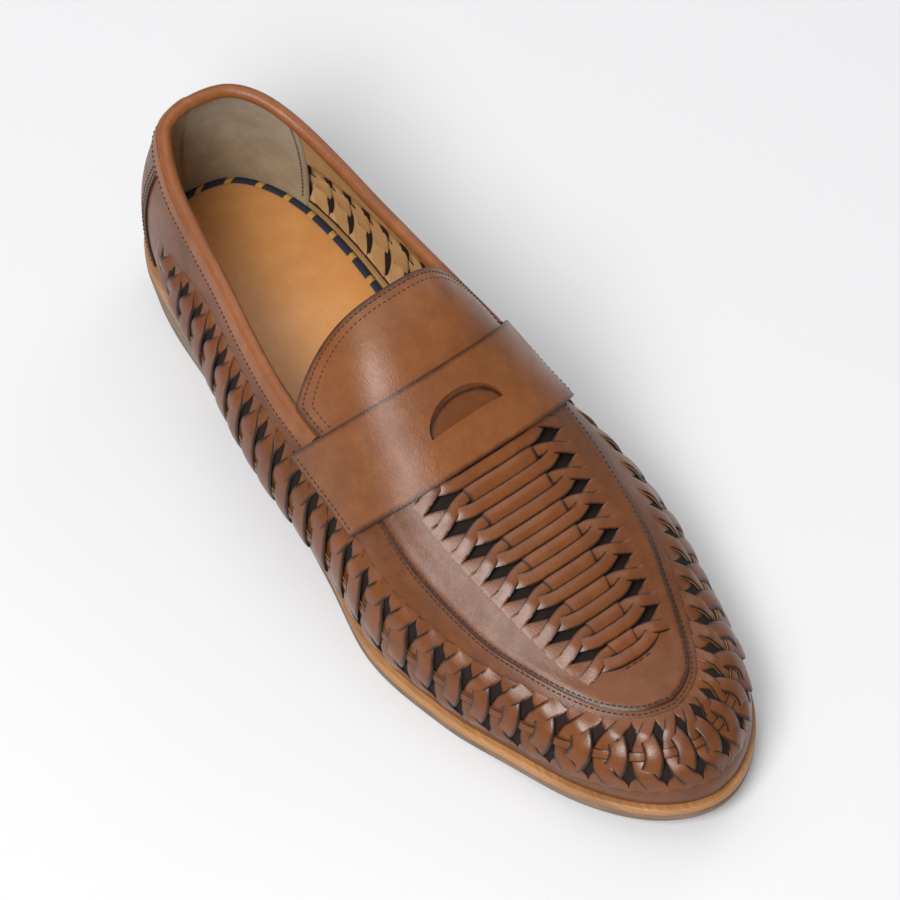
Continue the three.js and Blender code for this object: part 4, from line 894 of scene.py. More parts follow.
@dataclass
class Workshop:
    """Turns worked-out points into finished pieces and keeps count of them."""

    last: Last
    dresser: Dresser
    count: int = 0

    def grid(
        self, name: str, points: Array, facing: Array | None = None, rim: Array | None = None
    ) -> Piece:
        """Shape a grid primitive into a sheet.

        Args:
            name: Piece name.
            points: Rows by columns of points in millimetres.
            facing: Directions that the sheet should face, one for each point.
            rim: How much darker each point is, 0 to 1: nearness to an edge, or painted shade.

        Returns:
            The piece.
        """
        rows, cols = points.shape[:2]
        rim = np.zeros((rows, cols)) if rim is None else rim
        if facing is not None:
            across = points[:, 1:] - points[:, :-1]
            up = points[1:] - points[:-1]
            made = np.cross(across[:-1], up[:, :-1])
            if np.sum(made * facing[:-1, :-1]) < 0:
                points, rim = points[:, ::-1], rim[:, ::-1]
        bpy.ops.object.select_all(action="DESELECT")
        bpy.ops.mesh.primitive_grid_add(x_subdivisions=cols - 1, y_subdivisions=rows - 1, size=1)
        piece = bpy.context.object
        piece.name = name
        mesh = piece.data
        mesh.name = name
        mesh.vertices.foreach_set("co", to_frame(points, self.last).ravel())
        index = np.empty(len(mesh.loops), int)
        mesh.loops.foreach_get("vertex_index", index)
        unrolled = np.stack([run_length(points, 1), run_length(points, 0)], -1) * MM
        mesh.uv_layers[0].name = "UVMap"
        mesh.uv_layers[0].data.foreach_set("uv", unrolled.reshape(-1, 2)[index].ravel())
        mark_rim(mesh, rim)
        mesh.update()
        return piece

    def sheet(
        self,
        name: str,
        points: Array,
        facing: Array,
        rim: Array | None = None,
        thickness: float = 0.8,
        lined: bool = True,
        bevel: float = 0.0,
    ) -> Piece:
        """Shape a sheet, thicken it inward and round its edges.

        Args:
            name: Piece name.
            points: Rows by columns of points in millimetres.
            facing: Directions that the sheet should face, one for each point.
            rim: How much darker each point is, 0 to 1: nearness to an edge, or painted shade.
            thickness: Thickness in millimetres.
            lined: Whether the inner face has the second slot.
            bevel: Rounding of the edges in millimetres, 0 for none.

        Returns:
            The piece.
        """
        piece = self.grid(name, points, facing, rim)
        self.thicken(piece, thickness, lined)
        if bevel:
            self.round_edges(piece, bevel)
        return piece

    def solid(self, name: str, parts: Sequence[Part]) -> Piece:
        """Join many small repeated forms as one mesh that faces outward.

        Args:
            name: Piece name.
            parts: Points in millimetres, faces, rim values and material slots of each form.

        Returns:
            The piece.
        """
        starts = np.cumsum([0] + [len(part[0]) for part in parts])
        shifted = [(p, faces + start, rim, marks) for (p, faces, rim, marks), start in zip(parts, starts)]
        points, faces, rim, marks = (np.concatenate(kind) for kind in zip(*shifted))
        mesh = bpy.data.meshes.new(name)
        mesh.from_pydata(to_frame(points, self.last).tolist(), [], faces.tolist())
        mark_rim(mesh, rim)
        mesh.uv_layers.new(name="UVMap")
        for _ in range(2):
            mesh.materials.append(None)
        mesh.polygons.foreach_set("material_index", marks.astype(int))
        mesh.update()
        piece = bpy.data.objects.new(name, mesh)
        bpy.context.scene.collection.objects.link(piece)
        self.face_out(piece)
        return piece

    @staticmethod
    def modify(piece: Piece, kind: str, **props: object) -> None:
        """Add a modifier and apply it."""
        only(piece)
        modifier = piece.modifiers.new(kind.lower(), kind)
        for name, value in props.items():
            setattr(modifier, name, value)
        bpy.ops.object.modifier_apply(modifier=modifier.name)

    @staticmethod
    def edit(piece: Piece, *steps: Callable[[], object]) -> None:
        """Run steps in edit mode, each with the whole piece selected."""
        only(piece)
        bpy.ops.object.mode_set(mode="EDIT")
        for step in steps:
            bpy.ops.mesh.select_all(action="SELECT")
            step()
        bpy.ops.object.mode_set(mode="OBJECT")

    def face_out(self, piece: Piece) -> None:
        """Turn all faces of a piece outward."""
        self.edit(piece, partial(bpy.ops.mesh.normals_make_consistent, inside=False))

    def weld(self, piece: Piece, distance: float = 0.02) -> None:
        """Merge doubled corners."""
        merge = partial(bpy.ops.mesh.remove_doubles, threshold=distance * MM)
        self.edit(piece, merge, partial(bpy.ops.mesh.dissolve_degenerate, threshold=1e-7))

    def thicken(self, piece: Piece, thickness: float, lined: bool = True) -> None:
        """Give a sheet its thickness inward, with the inner face in the second slot if lined."""
        while lined and len(piece.data.materials) < 2:
            piece.data.materials.append(None)
        self.modify(
            piece,
            "SOLIDIFY",
            thickness=thickness * MM,
            offset=-1,
            use_even_offset=True,
            use_rim=True,
            material_offset=int(lined),
            material_offset_rim=0,
        )

    def round_edges(self, piece: Piece, width: float, segments: int = 2) -> None:
        """Round the sharp edges of a piece."""
        self.modify(
            piece,
            "BEVEL",
            width=width * MM,
            segments=segments,
            limit_method="ANGLE",
            angle_limit=math.radians(50.0),
            use_clamp_overlap=True,
        )

    def finish(
        self,
        piece: Piece,
        slot: str,
        finishes: Sequence[Finish],
        replaces: Sequence[str] = (),
        angle: float = 40.0,
    ) -> None:
        """Smooth, dress and place a piece.

        Args:
            piece: The piece.
            slot: Not used.
            finishes: Finish for each of the piece's slots.
            replaces: Solids of the frame that it stands for.
            angle: Largest angle between faces that is smoothed.
        """
        only(piece)
        bpy.ops.object.shade_smooth_by_angle(angle=math.radians(angle))
        self.dresser.dress(piece, *finishes)
        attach(piece, ROOT)
        if replaces:
            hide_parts(*replaces)
        self.count += 1
        LOG.info("piece %s: %d faces", piece.name, len(piece.data.polygons))


def edge_rim(arc: Array, width: float = 3.0, ends: bool = False) -> Array:
    """Return nearness to the first and last row of a sheet.

    Args:
        arc: Length up the sheet at each point.
        width: Distance over which the rim fades.
        ends: Whether the first and last column count too.

    Returns:
        Values from 0 to 1.
    """
    rim = np.clip(1 - np.minimum(arc - arc[:1], arc[-1:] - arc) / width, 0, 1)
    if ends:
        rim = np.maximum(rim, np.clip(1 - from_ends(arc.shape[1]) / 3.0, 0, 1))
    return rim


def above(base: Level, rows: Sequence[tuple[float, float]]) -> list[Ring]:
    """Return rings, each with an offset and a height above the same base."""
    return [(offset, lambda y, height=height: base(y) + height) for offset, height in rows]


@dataclass
class Sole:
    """Outsole, welt and heel under the shoe."""

    shop: Workshop
    outsole: float = 3.0
    welt: float = 3.5
    tip: float = 4.0
    taper: float = 3.0
    bevel: float = 0.7
    lifts: int = 3
    lift_groove: float = 0.22

    def layer(self, name: str, rings: Sequence[Ring], end: float | None = None, cols: int = 220) -> Piece:
        """Build one closed layer from its rings.

        Args:
            name: Piece name.
            rings: Offset and height of each ring, from top to bottom.
            end: Station at which the layer is cut off straight, or None for the whole foot.
            cols: Corners along each side.

        Returns:
            The piece, facing outward.
        """
        last, shop = self.shop.last, self.shop
        fine = np.linspace(0, 1, 2001)
        halves = []
        for side in SIDES:
            reach = 1.0 if end is None else float(np.interp(end, last.outline(side, fine)[:, 1], fine))
            half = []
            for offset, height in rings:
                p = last.outline(side, np.linspace(0, reach, cols), offset)
                if end is not None:
                    p[-1, 1] = end + min(0.0, offset)
                half.append(np.concatenate([p, height(p[:, 1])[:, None]], 1))
            halves.append(np.array(half))
        outer, inner = halves
        blend = np.linspace(0, 1, 9)[:, None, None]
        top = inner[:1] * (1 - blend) + outer[:1] * blend
        bottom = outer[-1:] * (1 - blend) + inner[-1:] * blend
        piece = shop.grid(name, np.concatenate([top, outer[1:], bottom[1:], inner[-2:0:-1], inner[:1]]))
        shop.weld(piece)
        if end is not None:
            shop.edit(piece, fill_ends)
        shop.face_out(piece)
        return piece

    def build(self) -> None:
        """Build and dress the whole sole."""
        last, shop, bevel = self.shop.last, self.shop, self.bevel
        top = self.outsole - last.gap
        rows = (
            (-0.35, top),
            (0.0, top - 0.35),
            (0.05, self.outsole * 0.5),
            (0.0, bevel),
            (-0.25 * bevel, 0.3 * bevel),
            (-bevel, 0.0),
        )
        piece = self.layer("outsole_edge", above(last.tread, rows))
        self.mark_bottom(piece)
        shop.finish(piece, "outsole_leather", (Finish.SOLE_EDGE, Finish.TREAD), ("outsole",), 50)
        base = self.outsole
        full = self.outsole + self.welt
        rows = (
            (-0.9, full),
            (-0.35, full - 0.12),
            (0.0, full - bevel),
            (0.08, base + self.welt * 0.55),
            (0.0, base + bevel * 0.7),
            (-0.35, base + 0.1),
            (-1.0, base),
        )
        piece = self.layer("welt_edge", above(last.tread, rows))
        self.unroll(piece)
        shop.finish(piece, "welt_leather", (Finish.WELT,), ("welt",), 50)
        self.heel()

    def mark_bottom(self, piece: Piece) -> None:
        """Put faces that look down in the second slot."""
        while len(piece.data.materials) < 2:
            piece.data.materials.append(None)
        for face in piece.data.polygons:
            if face.normal.z < -0.9:
                face.material_index = 1

    def unroll(self, piece: Piece) -> None:
        """Lay the pattern along the outline and up the edge."""
        mesh = piece.data
        layer = mesh.uv_layers[0].data
        middle, radius, slope = 0.115, 0.12, 0.3
        for loop in mesh.loops:
            co = mesh.vertices[loop.vertex_index].co
            layer[loop.index].uv = (math.atan2(co.x, co.y - middle) * radius, co.z - slope * abs(co.x))

    def drawn_in(self, height: float) -> float:
        """Return the offset of the heel's wall at a height."""
        return -self.taper * (1 - height / self.shop.last.heel_rise)

    def heel(self) -> None:
        """Build the stacked heel and its tip."""
        last, shop = self.shop.last, self.shop
        low = self.tip + last.gap
        rings = []

        def level(share: float) -> Level:
            """Return the height of a level between the tip and the outsole."""
            return lambda y: low + (last.tread(y) - last.gap - low) * share

        for k in range(self.lifts):
            top, bottom = 1 - k / self.lifts, 1 - (k + 1) / self.lifts
            for share, draw in ((top, 1), (top - 0.02, 0), (bottom + 0.02, 0), (bottom, 1)):
                offset = self.drawn_in(low + (last.heel_rise - low) * share) - self.lift_groove * draw
                rings.append((offset, level(share)))
        piece = self.layer("heel_lifts", rings, last.heel_length, 90)
        shop.finish(piece, "heel_leather", (Finish.SOLE_EDGE,), ("heel_stack",), 35)
        tip, edge = self.tip, self.bevel
        rows = (
            (self.drawn_in(tip) - 0.25, tip),
            (self.drawn_in(tip), tip - 0.25),
            (self.drawn_in(edge), edge),
            (self.drawn_in(0) - 0.3 * edge, 0.25 * edge),
            (self.drawn_in(0) - edge, 0.0),
        )
        piece = self.layer("heel_top_piece", above(np.zeros_like, rows), last.heel_length, 90)
        self.mark_bottom(piece)
        shop.finish(piece, "tip_rubber", (Finish.SOLE_EDGE, Finish.TREAD), ("heel_tip",), 35)


@dataclass
class Sock:
    """Insole, heel lining and the ribbon at the insole's edge."""

    shop: Workshop
    thickness: float = 3.5
    margin: float = 4.6
    ribbon_reach: float = 0.46
    lining_reach: float = 0.156
    lining_low: float = 0.8

    def top(self, y: Array) -> Array:
        """Return the height of the insole's face."""
        last = self.shop.last
        return last.tread(y) + last.sole + last.gap + self.thickness

    def build(self) -> None:
        """Build and dress the inside."""
        self.insole()
        self.heel_lining()
        self.ribbon()

    def insole(self) -> None:
        """Build the padded insole."""
        edge = -self.margin
        rows = (
            (edge - 3.0, 0.25),
            (edge - 0.7, 0.05),
            (edge - 0.2, -0.4),
            (edge, -1.0),
            (edge, -self.thickness),
        )
        piece = Sole(self.shop).layer("insole_sock", above(self.top, rows))
        self.shop.finish(piece, "sock_leather", (Finish.SOCK,), ("insole",), 50)

    def heel_lining(self) -> None:
        """Build the suede lining of the heel."""
        last, shop = self.shop.last, self.shop
        q = np.linspace(-self.lining_reach, self.lining_reach, 121)[None, :]
        top = last.top_arc(LATERAL, q) + last.bead
        arc = self.lining_low + (top - self.lining_low) * np.linspace(0, 1, 25)[:, None]
        points = last.lay(LATERAL, q, arc, -last.wall - 0.25)
        rim = edge_rim(arc, 2.0, True)
        piece = shop.sheet("heel_lining", points, -last.facing(LATERAL, q, arc), rim, 0.9, False, 0.3)
        shop.finish(piece, "sock_leather", (Finish.SUEDE,))

    def ribbon(self) -> None:
        """Build the narrow ribbon that stands at the insole's edge."""
        last, shop = self.shop.last, self.shop
        side, share = last.fold(LATERAL, np.linspace(-self.ribbon_reach, self.ribbon_reach, 241))
        rows = []
        for lift, draw in ((-1.2, 0.2), (0.2, 0.1), (0.9, 0.9), (1.0, 2.2), (0.6, 3.0)):
            p = last.outline(side, share, -self.margin - draw + 0.5)
            rows.append(np.concatenate([p, (self.top(p[:, 1]) + lift)[:, None]], 1))
        points = np.stack(rows)
        upward = np.broadcast_to((0.0, 0.0, 1.0), points.shape)
        piece = shop.sheet("sock_ribbon", points, upward, None, 0.5, False)
        shop.finish(piece, "sock_leather", (Finish.RIBBON,), (), 60)


@dataclass
class UpperLeather:
    """Plain leather of the upper: rear, counter, borders of the weave and apron."""

    shop: Workshop
    leather: float = 1.5
    counter_reach: float = 38.0
    counter_waist: float = 0.1
    counter_low: float = 0.6
    counter_step: float = 0.95
    counter_leather: float = 0.9
    tuck: float = 0.8
    window_tuck: float = 0.9
    bead: float = 0.35
    bead_width: float = 2.2
    lining_start: float = 0.56

    def build(self) -> None:
        """Build and dress the leather around the weave."""
        self.rear()
        self.counter()
        self.borders()
        self.apron()
        self.toe_shaded_lining()

    def wrap(
        self, name: str, q: Array, arc: Array, offset: float = 0.0, thickness: float = 1.5, ends: bool = False
    ) -> None:
        """Build and dress one sheet on the last.

        Args:
            name: Piece name.
            q: Share along at each column.
            arc: Length up at each point.
            offset: Height of the outer face.
            thickness: Thickness of the leather.
            ends: Whether the end columns are edges too.
        """
        last, shop = self.shop.last, self.shop
        q = np.broadcast_to(q, arc.shape)
        points = last.lay(LATERAL, q, arc, offset)
        rim = edge_rim(arc, ends=ends)
        piece = shop.sheet(name, points, last.facing(LATERAL, q, arc), rim, thickness, True, 0.3)
        shop.finish(piece, "upper_leather", CALF)

    def rear(self) -> None:
        """Build the wall round the heel."""
        last = self.shop.last
        reach = last.first_unit + 0.002
        q = np.linspace(-reach, reach, 101)[None, :]
        self.wrap("rear_wall", q, last.top_arc(LATERAL, q) * np.linspace(0, 1, 31)[:, None])

    def counter_place(self, u: Array, v: Array, inset: float = 0.0) -> tuple[Array, Array]:
        """Return the share along and the length up on the counter.

        Args:
            u: Share round the heel, -1 to 1.
            v: Share up the counter.
            inset: Distance in from its two ends.

        Returns:
            Share along the foot and length up the wall.
        """
        last = self.shop.last
        reach = self.counter_reach * (1 - self.counter_waist * np.sin(np.pi * v))
        q = u * (reach - inset) / last.side_length
        return q, self.counter_low + (last.top_arc(LATERAL, q) - 0.4 - self.counter_low) * v

    def counter(self) -> None:
        """Build the counter over the back of the heel."""
        q, arc = self.counter_place(np.linspace(-1, 1, 81)[None, :], np.linspace(0, 1, 31)[:, None])
        self.wrap("heel_counter", q, arc, self.counter_step, self.counter_leather, True)

    def borders(self) -> None:
        """Build the leather below the weave, and between the weave and the collar or apron."""
        last = self.shop.last
        q = np.linspace(last.first_unit, 2 - last.first_unit, 401)[None, :]
        hem = last.hem_arc(LATERAL, q) + self.tuck
        self.wrap("hem_border", q, hem * np.linspace(0, 1, 7)[:, None])
        crest = last.crest_arc(LATERAL, q) - self.tuck
        ahead = smoothstep(from_heel(q), last.throat - 0.02, last.throat)
        top = np.maximum(last.top_arc(LATERAL, q) + 2.0 * ahead, crest + 2.4)
        self.wrap("crest_border", q, crest + (top - crest) * np.linspace(0, 1, 15)[:, None])

    def apron(self) -> None:
        """Build the apron with its window for the ladder."""
        last, shop = self.shop.last, self.shop
        ladder = Ladder(shop)
        cols, rows, fine = 181, 25, 400
        q = 1 - (1 - (last.throat + 0.0012)) * (1 - np.linspace(0, 1, cols))
        pieces = []
        for side in SIDES:
            seam = last.share(side, q, last.seam_arc(side, q))
            t = seam + (1 - seam) * np.linspace(0, 1, fine)[:, None]
            p = last.point(side, q, t)
            inside = np.abs(p[..., 0] - ladder.centre) < ladder.reach(p[..., 1]) - self.window_tuck
            first = np.where(inside.any(0), inside.argmax(0), fine - 1)
            border = t[first, np.arange(cols)]
            t = seam + (border - seam) * np.linspace(0, 1, rows)[:, None]
            arc = last.arc(side, q, t)
            beyond = (arc - last.seam_arc(side, q) - self.bead_width) / self.bead_width
            points = last.skin(side, q, t, last.apron_step + self.bead * np.exp(-(beyond**2)))
            rim = np.clip(1 - (arc - arc[:1]) / 2.5, 0, 1)
            pieces.append(shop.grid(f"apron_{int(side)}", points, last.normal(side, q, t), rim))
        only(pieces[0])
        pieces[1].select_set(True)
        bpy.ops.object.join()
        piece = bpy.context.object
        piece.name = "apron"
        shop.weld(piece, 0.05)
        shop.thicken(piece, self.leather)
        shop.round_edges(piece, 0.35)
        shop.finish(piece, "upper_leather", CALF)

    def toe_shaded_lining(self) -> None:
        """Build the lining inside the front of the shoe, coloured near black as painted shade."""
        last, shop = self.shop.last, self.shop
        q, t = np.meshgrid(np.linspace(self.lining_start, 1, 161), np.linspace(0.05, 1, 31))
        for side, name in ((LATERAL, "outer"), (MEDIAL, "inner")):
            points = last.skin(side, q, t, -last.wall - 0.3)
            piece = shop.sheet(f"toe_shaded_lining_{name}", points, last.normal(side, q, t), None, 0.6, False)
            shop.finish(piece, "upper_leather", (Finish.SHADE,))


def sweep(
    centre: Array,
    normal: Array,
    width: Array,
    thickness: float,
    camber: Array | float = 0.0,
    ease: Array | float = 1.0,
) -> Part:
    """Sweep the section of a flat strip along paths.

    Args:
        centre: Paths by steps of points on the strips' top faces.
        normal: Outward directions at these points.
        width: Widths at these points.
        thickness: Thickness of the strips.
        camber: How far the two long edges bend down.
        ease: How far the strip has left the leather that it is cut from, 0 to 1.

    Returns:
        Points, faces, rim values and material slots.
    """
    x, z, worn = np.array(SECTION).T
    paths, steps = centre.shape[:2]
    k = len(x)
    along = unit(np.gradient(centre, axis=1))
    across = unit(np.cross(normal, along))
    up = unit(np.cross(along, across))
    own = np.broadcast_to(ease, width.shape)[..., None]
    bend = np.broadcast_to(camber, width.shape)[..., None]
    side = x * width[..., None] / 2
    drop = z * np.where(np.arange(k) < FACE_CORNERS, 0.1 + 0.9 * own, 1.0) * thickness - bend * x**2
    points = centre[:, :, None] + across[:, :, None] * side[..., None] + up[:, :, None] * drop[..., None]
    index = np.arange(paths * steps * k).reshape(paths, steps, k)
    a, b = index[:, :-1], index[:, 1:]
    faces = np.stack([a, b, np.roll(b, -1, axis=2), np.roll(a, -1, axis=2)], -1).reshape(-1, 4)
    marks = np.zeros(a.shape, int)
    marks[:, :, FACE_CORNERS - 1 : k - 1] = 1
    caps = []
    for low in range(k // 2 - 1):
        high = k - 1 - low
        for end, order in ((0, 1), (steps - 1, -1)):
            quad = [index[:, end, corner] for corner in (low, low + 1, high - 1, high)]
            caps.append(np.stack(quad[::order], -1))
    faces = np.concatenate([faces, *caps])
    marks = np.concatenate([marks.ravel(), np.zeros(len(faces) - marks.size, int)])
    return points.reshape(-1, 3), faces, (worn * own).ravel(), marks


@dataclass
class SideWeave:
    """Crossed strips round the side of the shoe, bound by one lace."""

    shop: Workshop
    relief: float = 1.55
    sunk: float = 0.0
    thickness: float = 0.85
    flush: float = 0.02
    overlap: float = 2.6
    turn: float = 1.35
    root_width: float = 0.52
    over_width: float = 0.57
    under_width: float = 0.5
    camber: float = 0.3
    lace_width: float = 3.2
    lace_thickness: float = 0.7
    end_place: float = 0.24
    end_width: float = 4.6
    end_lift: float = 0.9
    end_sink: float = 0.75
    swell: float = 1.3
    toe_swell: float = 0.4
    swell_run: tuple[float, float] = (0.42, 0.6)
    outer_swell: float = 3.7
    outer_run: tuple[float, float] = (0.43, 0.6)
    outer_full: float = 0.24
    broader: float = 0.42
    broad_run: tuple[float, float] = (0.48, 0.74)
    place_jitter: float = 0.02
    height_jitter: float = 0.1
    width_jitter: float = 0.03
    steps: int = 37
    lean: float = 3.2
    lean_run: float = 26.0
    lean_end: float = 0.82

    @property
    def total(self) -> int:
        """Number of units round the shoe."""
        return 2 * self.shop.last.units

    def share_at(self, count: Array) -> Array:
        """Return the share along the foot at a count of units from the start, past the toe too."""
        last = self.shop.last
        past = count > last.units
        c = np.where(past, self.total - count, count) / last.units
        q = last.first_unit + (1 - last.first_unit) * last.pitch(c)
        return np.where(past, 2 - q, q)

    def place(self, count: Array, rise: Array, height: Array) -> tuple[Array, Array]:
        """Return points and normals of the woven band.

        Args:
            count: Units from the start.
            rise: Share up the band.
            height: Height above the last.

        Returns:
            Points and outward normals.
        """
        last = self.shop.last
        begin = last.first_unit
        q = self.share_at(count)
        inner = from_heel(q)
        start = smoothstep(inner, begin, begin + self.lean_run / last.side_length)
        end = 1 - smoothstep(inner, self.lean_end, 1.0)
        lean = self.lean / last.side_length * start * end * (0.5 - rise)
        q = q + np.where(q > 1, -lean, lean)
        hem = last.hem_arc(LATERAL, q)
        arc = hem + (last.crest_arc(LATERAL, q) - hem) * rise
        rear = self.toe_swell + (1 - self.toe_swell) * (1 - smoothstep(inner, *self.swell_run))
        full = smoothstep(inner, begin - 0.02, self.outer_full)
        outer = (q < 1) * (1 - smoothstep(inner, *self.outer_run)) * full
        begun = smoothstep(inner, begin - 0.02, begin + 0.05)
        swell = (self.swell * rear + self.outer_swell * outer) * begun
        height = height + swell * np.sin(np.pi * np.clip(rise, 0, 1))
        return last.lay(LATERAL, q, arc, height), last.facing(LATERAL, q, arc)

    def pitch_at(self, count: Array, rise: Array, height: Array) -> Array:
        """Return the distance from unit to unit at places on the band."""
        ahead, _ = self.place(count + 0.5, rise, height)
        behind, _ = self.place(count - 0.5, rise, height)
        return np.linalg.norm(ahead - behind, axis=-1)

    def sway(self, rise: Array) -> Array:
        """Return how far a strip has crossed over, 0 at its roots and 1 at mid height."""
        return np.sin(np.pi * np.clip(rise, 0, 1)) ** self.turn

    def fullness(self, count: Array) -> Array:
        """Return how much broader the strips are beside the foot than round the toe, 0 to 1."""
        return 1 - smoothstep(from_heel(self.share_at(count)), *self.broad_run)

    def rises(self, count: Array) -> tuple[Array, Array]:
        """Return where the steps of each strip lie.

        Args:
            count: Units from the start, one row a strip.

        Returns:
            Shares up the band, running on over both borders, and how far each step is over them.
        """
        last = self.shop.last
        q = self.share_at(count)
        past = self.overlap / (last.crest_arc(LATERAL, q) - last.hem_arc(LATERAL, q))
        rise = -past + (1 + 2 * past) * np.linspace(0, 1, self.steps)[None, :]
        return rise, np.clip(np.maximum(-rise, rise - 1) / np.maximum(past, 1e-6), 0, 1)

    def strips(self) -> Piece:
        """Build all the crossed strips."""
        crossing = np.arange(1.0, self.total)[:, None]
        rise, out = self.rises(crossing)
        sway = self.sway(rise)
        parts = []
        for root, way, heights, mid_width, seed in (
            (-0.25, 0.5, (self.flush, 0.1, 0.3, 1.0, self.relief), self.over_width, 1.3),
            (0.25, -0.5, (self.flush, 0.8, 1.25, 0.85, self.sunk), self.under_width, 2.1),
        ):
            jitter = np.sin(crossing * 12.9898 * seed)
            count = crossing + root + way * sway + self.place_jitter * jitter * sway
            uneven = self.height_jitter * np.sin(crossing * 7.7 * seed) * sway
            height = Curve(SWAYS, heights)(sway) + uneven - ROOT_SINK * out**ROOT_CURL
            centre, normal = self.place(count, rise, height)
            mid = mid_width * (1 + self.broader * self.fullness(crossing))
            share = self.root_width + (mid - self.root_width) * np.clip(2 * sway, 0, 1)
            width = self.pitch_at(count, rise, height) * share * (1 + self.width_jitter * jitter)
            ease = smoothstep(sway, 0.0, 0.25)
            parts.append(sweep(centre, normal, width, self.thickness, self.camber * sway, ease))
        for at in (self.end_place, self.total - self.end_place):
            rise, out = self.rises(np.full((1, 1), at))
            height = self.end_lift * self.sway(rise) - self.end_sink * out**1.5
            centre, normal = self.place(np.full(rise.shape, at), rise, height)
            width = np.full(rise.shape, self.end_width)
            parts.append(sweep(centre, normal, width, self.thickness, self.camber))
        return self.shop.solid("side_strips", parts)

    def lace(self) -> Piece:
        """Build the lace that binds the strips at mid height."""
        count = np.linspace(0.0, self.total, self.total * 12 + 1)[None, :]
        height = 0.5 + 0.4 * np.cos(2 * np.pi * (count - 0.75))
        centre, normal = self.place(count, np.full(count.shape, 0.5), height)
        width = np.full(count.shape, self.lace_width)
        return self.shop.solid("side_lace", [sweep(centre, normal, width, self.lace_thickness)])

    def shades(self) -> Piece:
        """Build dark patches of painted shade behind the gaps between the strips."""
        between = np.arange(self.total)[:, None] + 0.5
        parts = []
        for low, high in ((0.01, 0.42), (0.58, 0.99)):
            count, rise = np.broadcast_arrays(between, np.linspace(low, high, 13))
            centre, normal = self.place(count, rise, -0.25)
            share = np.sin(np.pi * (rise - low) / (high - low))
            slim = 1 - 0.45 * self.fullness(between)
            width = self.pitch_at(count, rise, 0.0) * slim * (0.12 + 0.5 * np.clip(share, 0, 1) ** 0.6)
            parts.append(sweep(centre, normal, width, 0.3))
        return self.shop.solid("gap_painted_shade", parts)

    def build(self) -> None:
        """Build and dress the woven band."""
        self.shop.finish(self.strips(), "upper_leather", STRIP, ("upper",), 50)
        self.shop.finish(self.lace(), "upper_leather", STRIP, (), 50)
        self.shop.finish(self.shades(), "upper_leather", (Finish.SHADE, Finish.SHADE), (), 50)


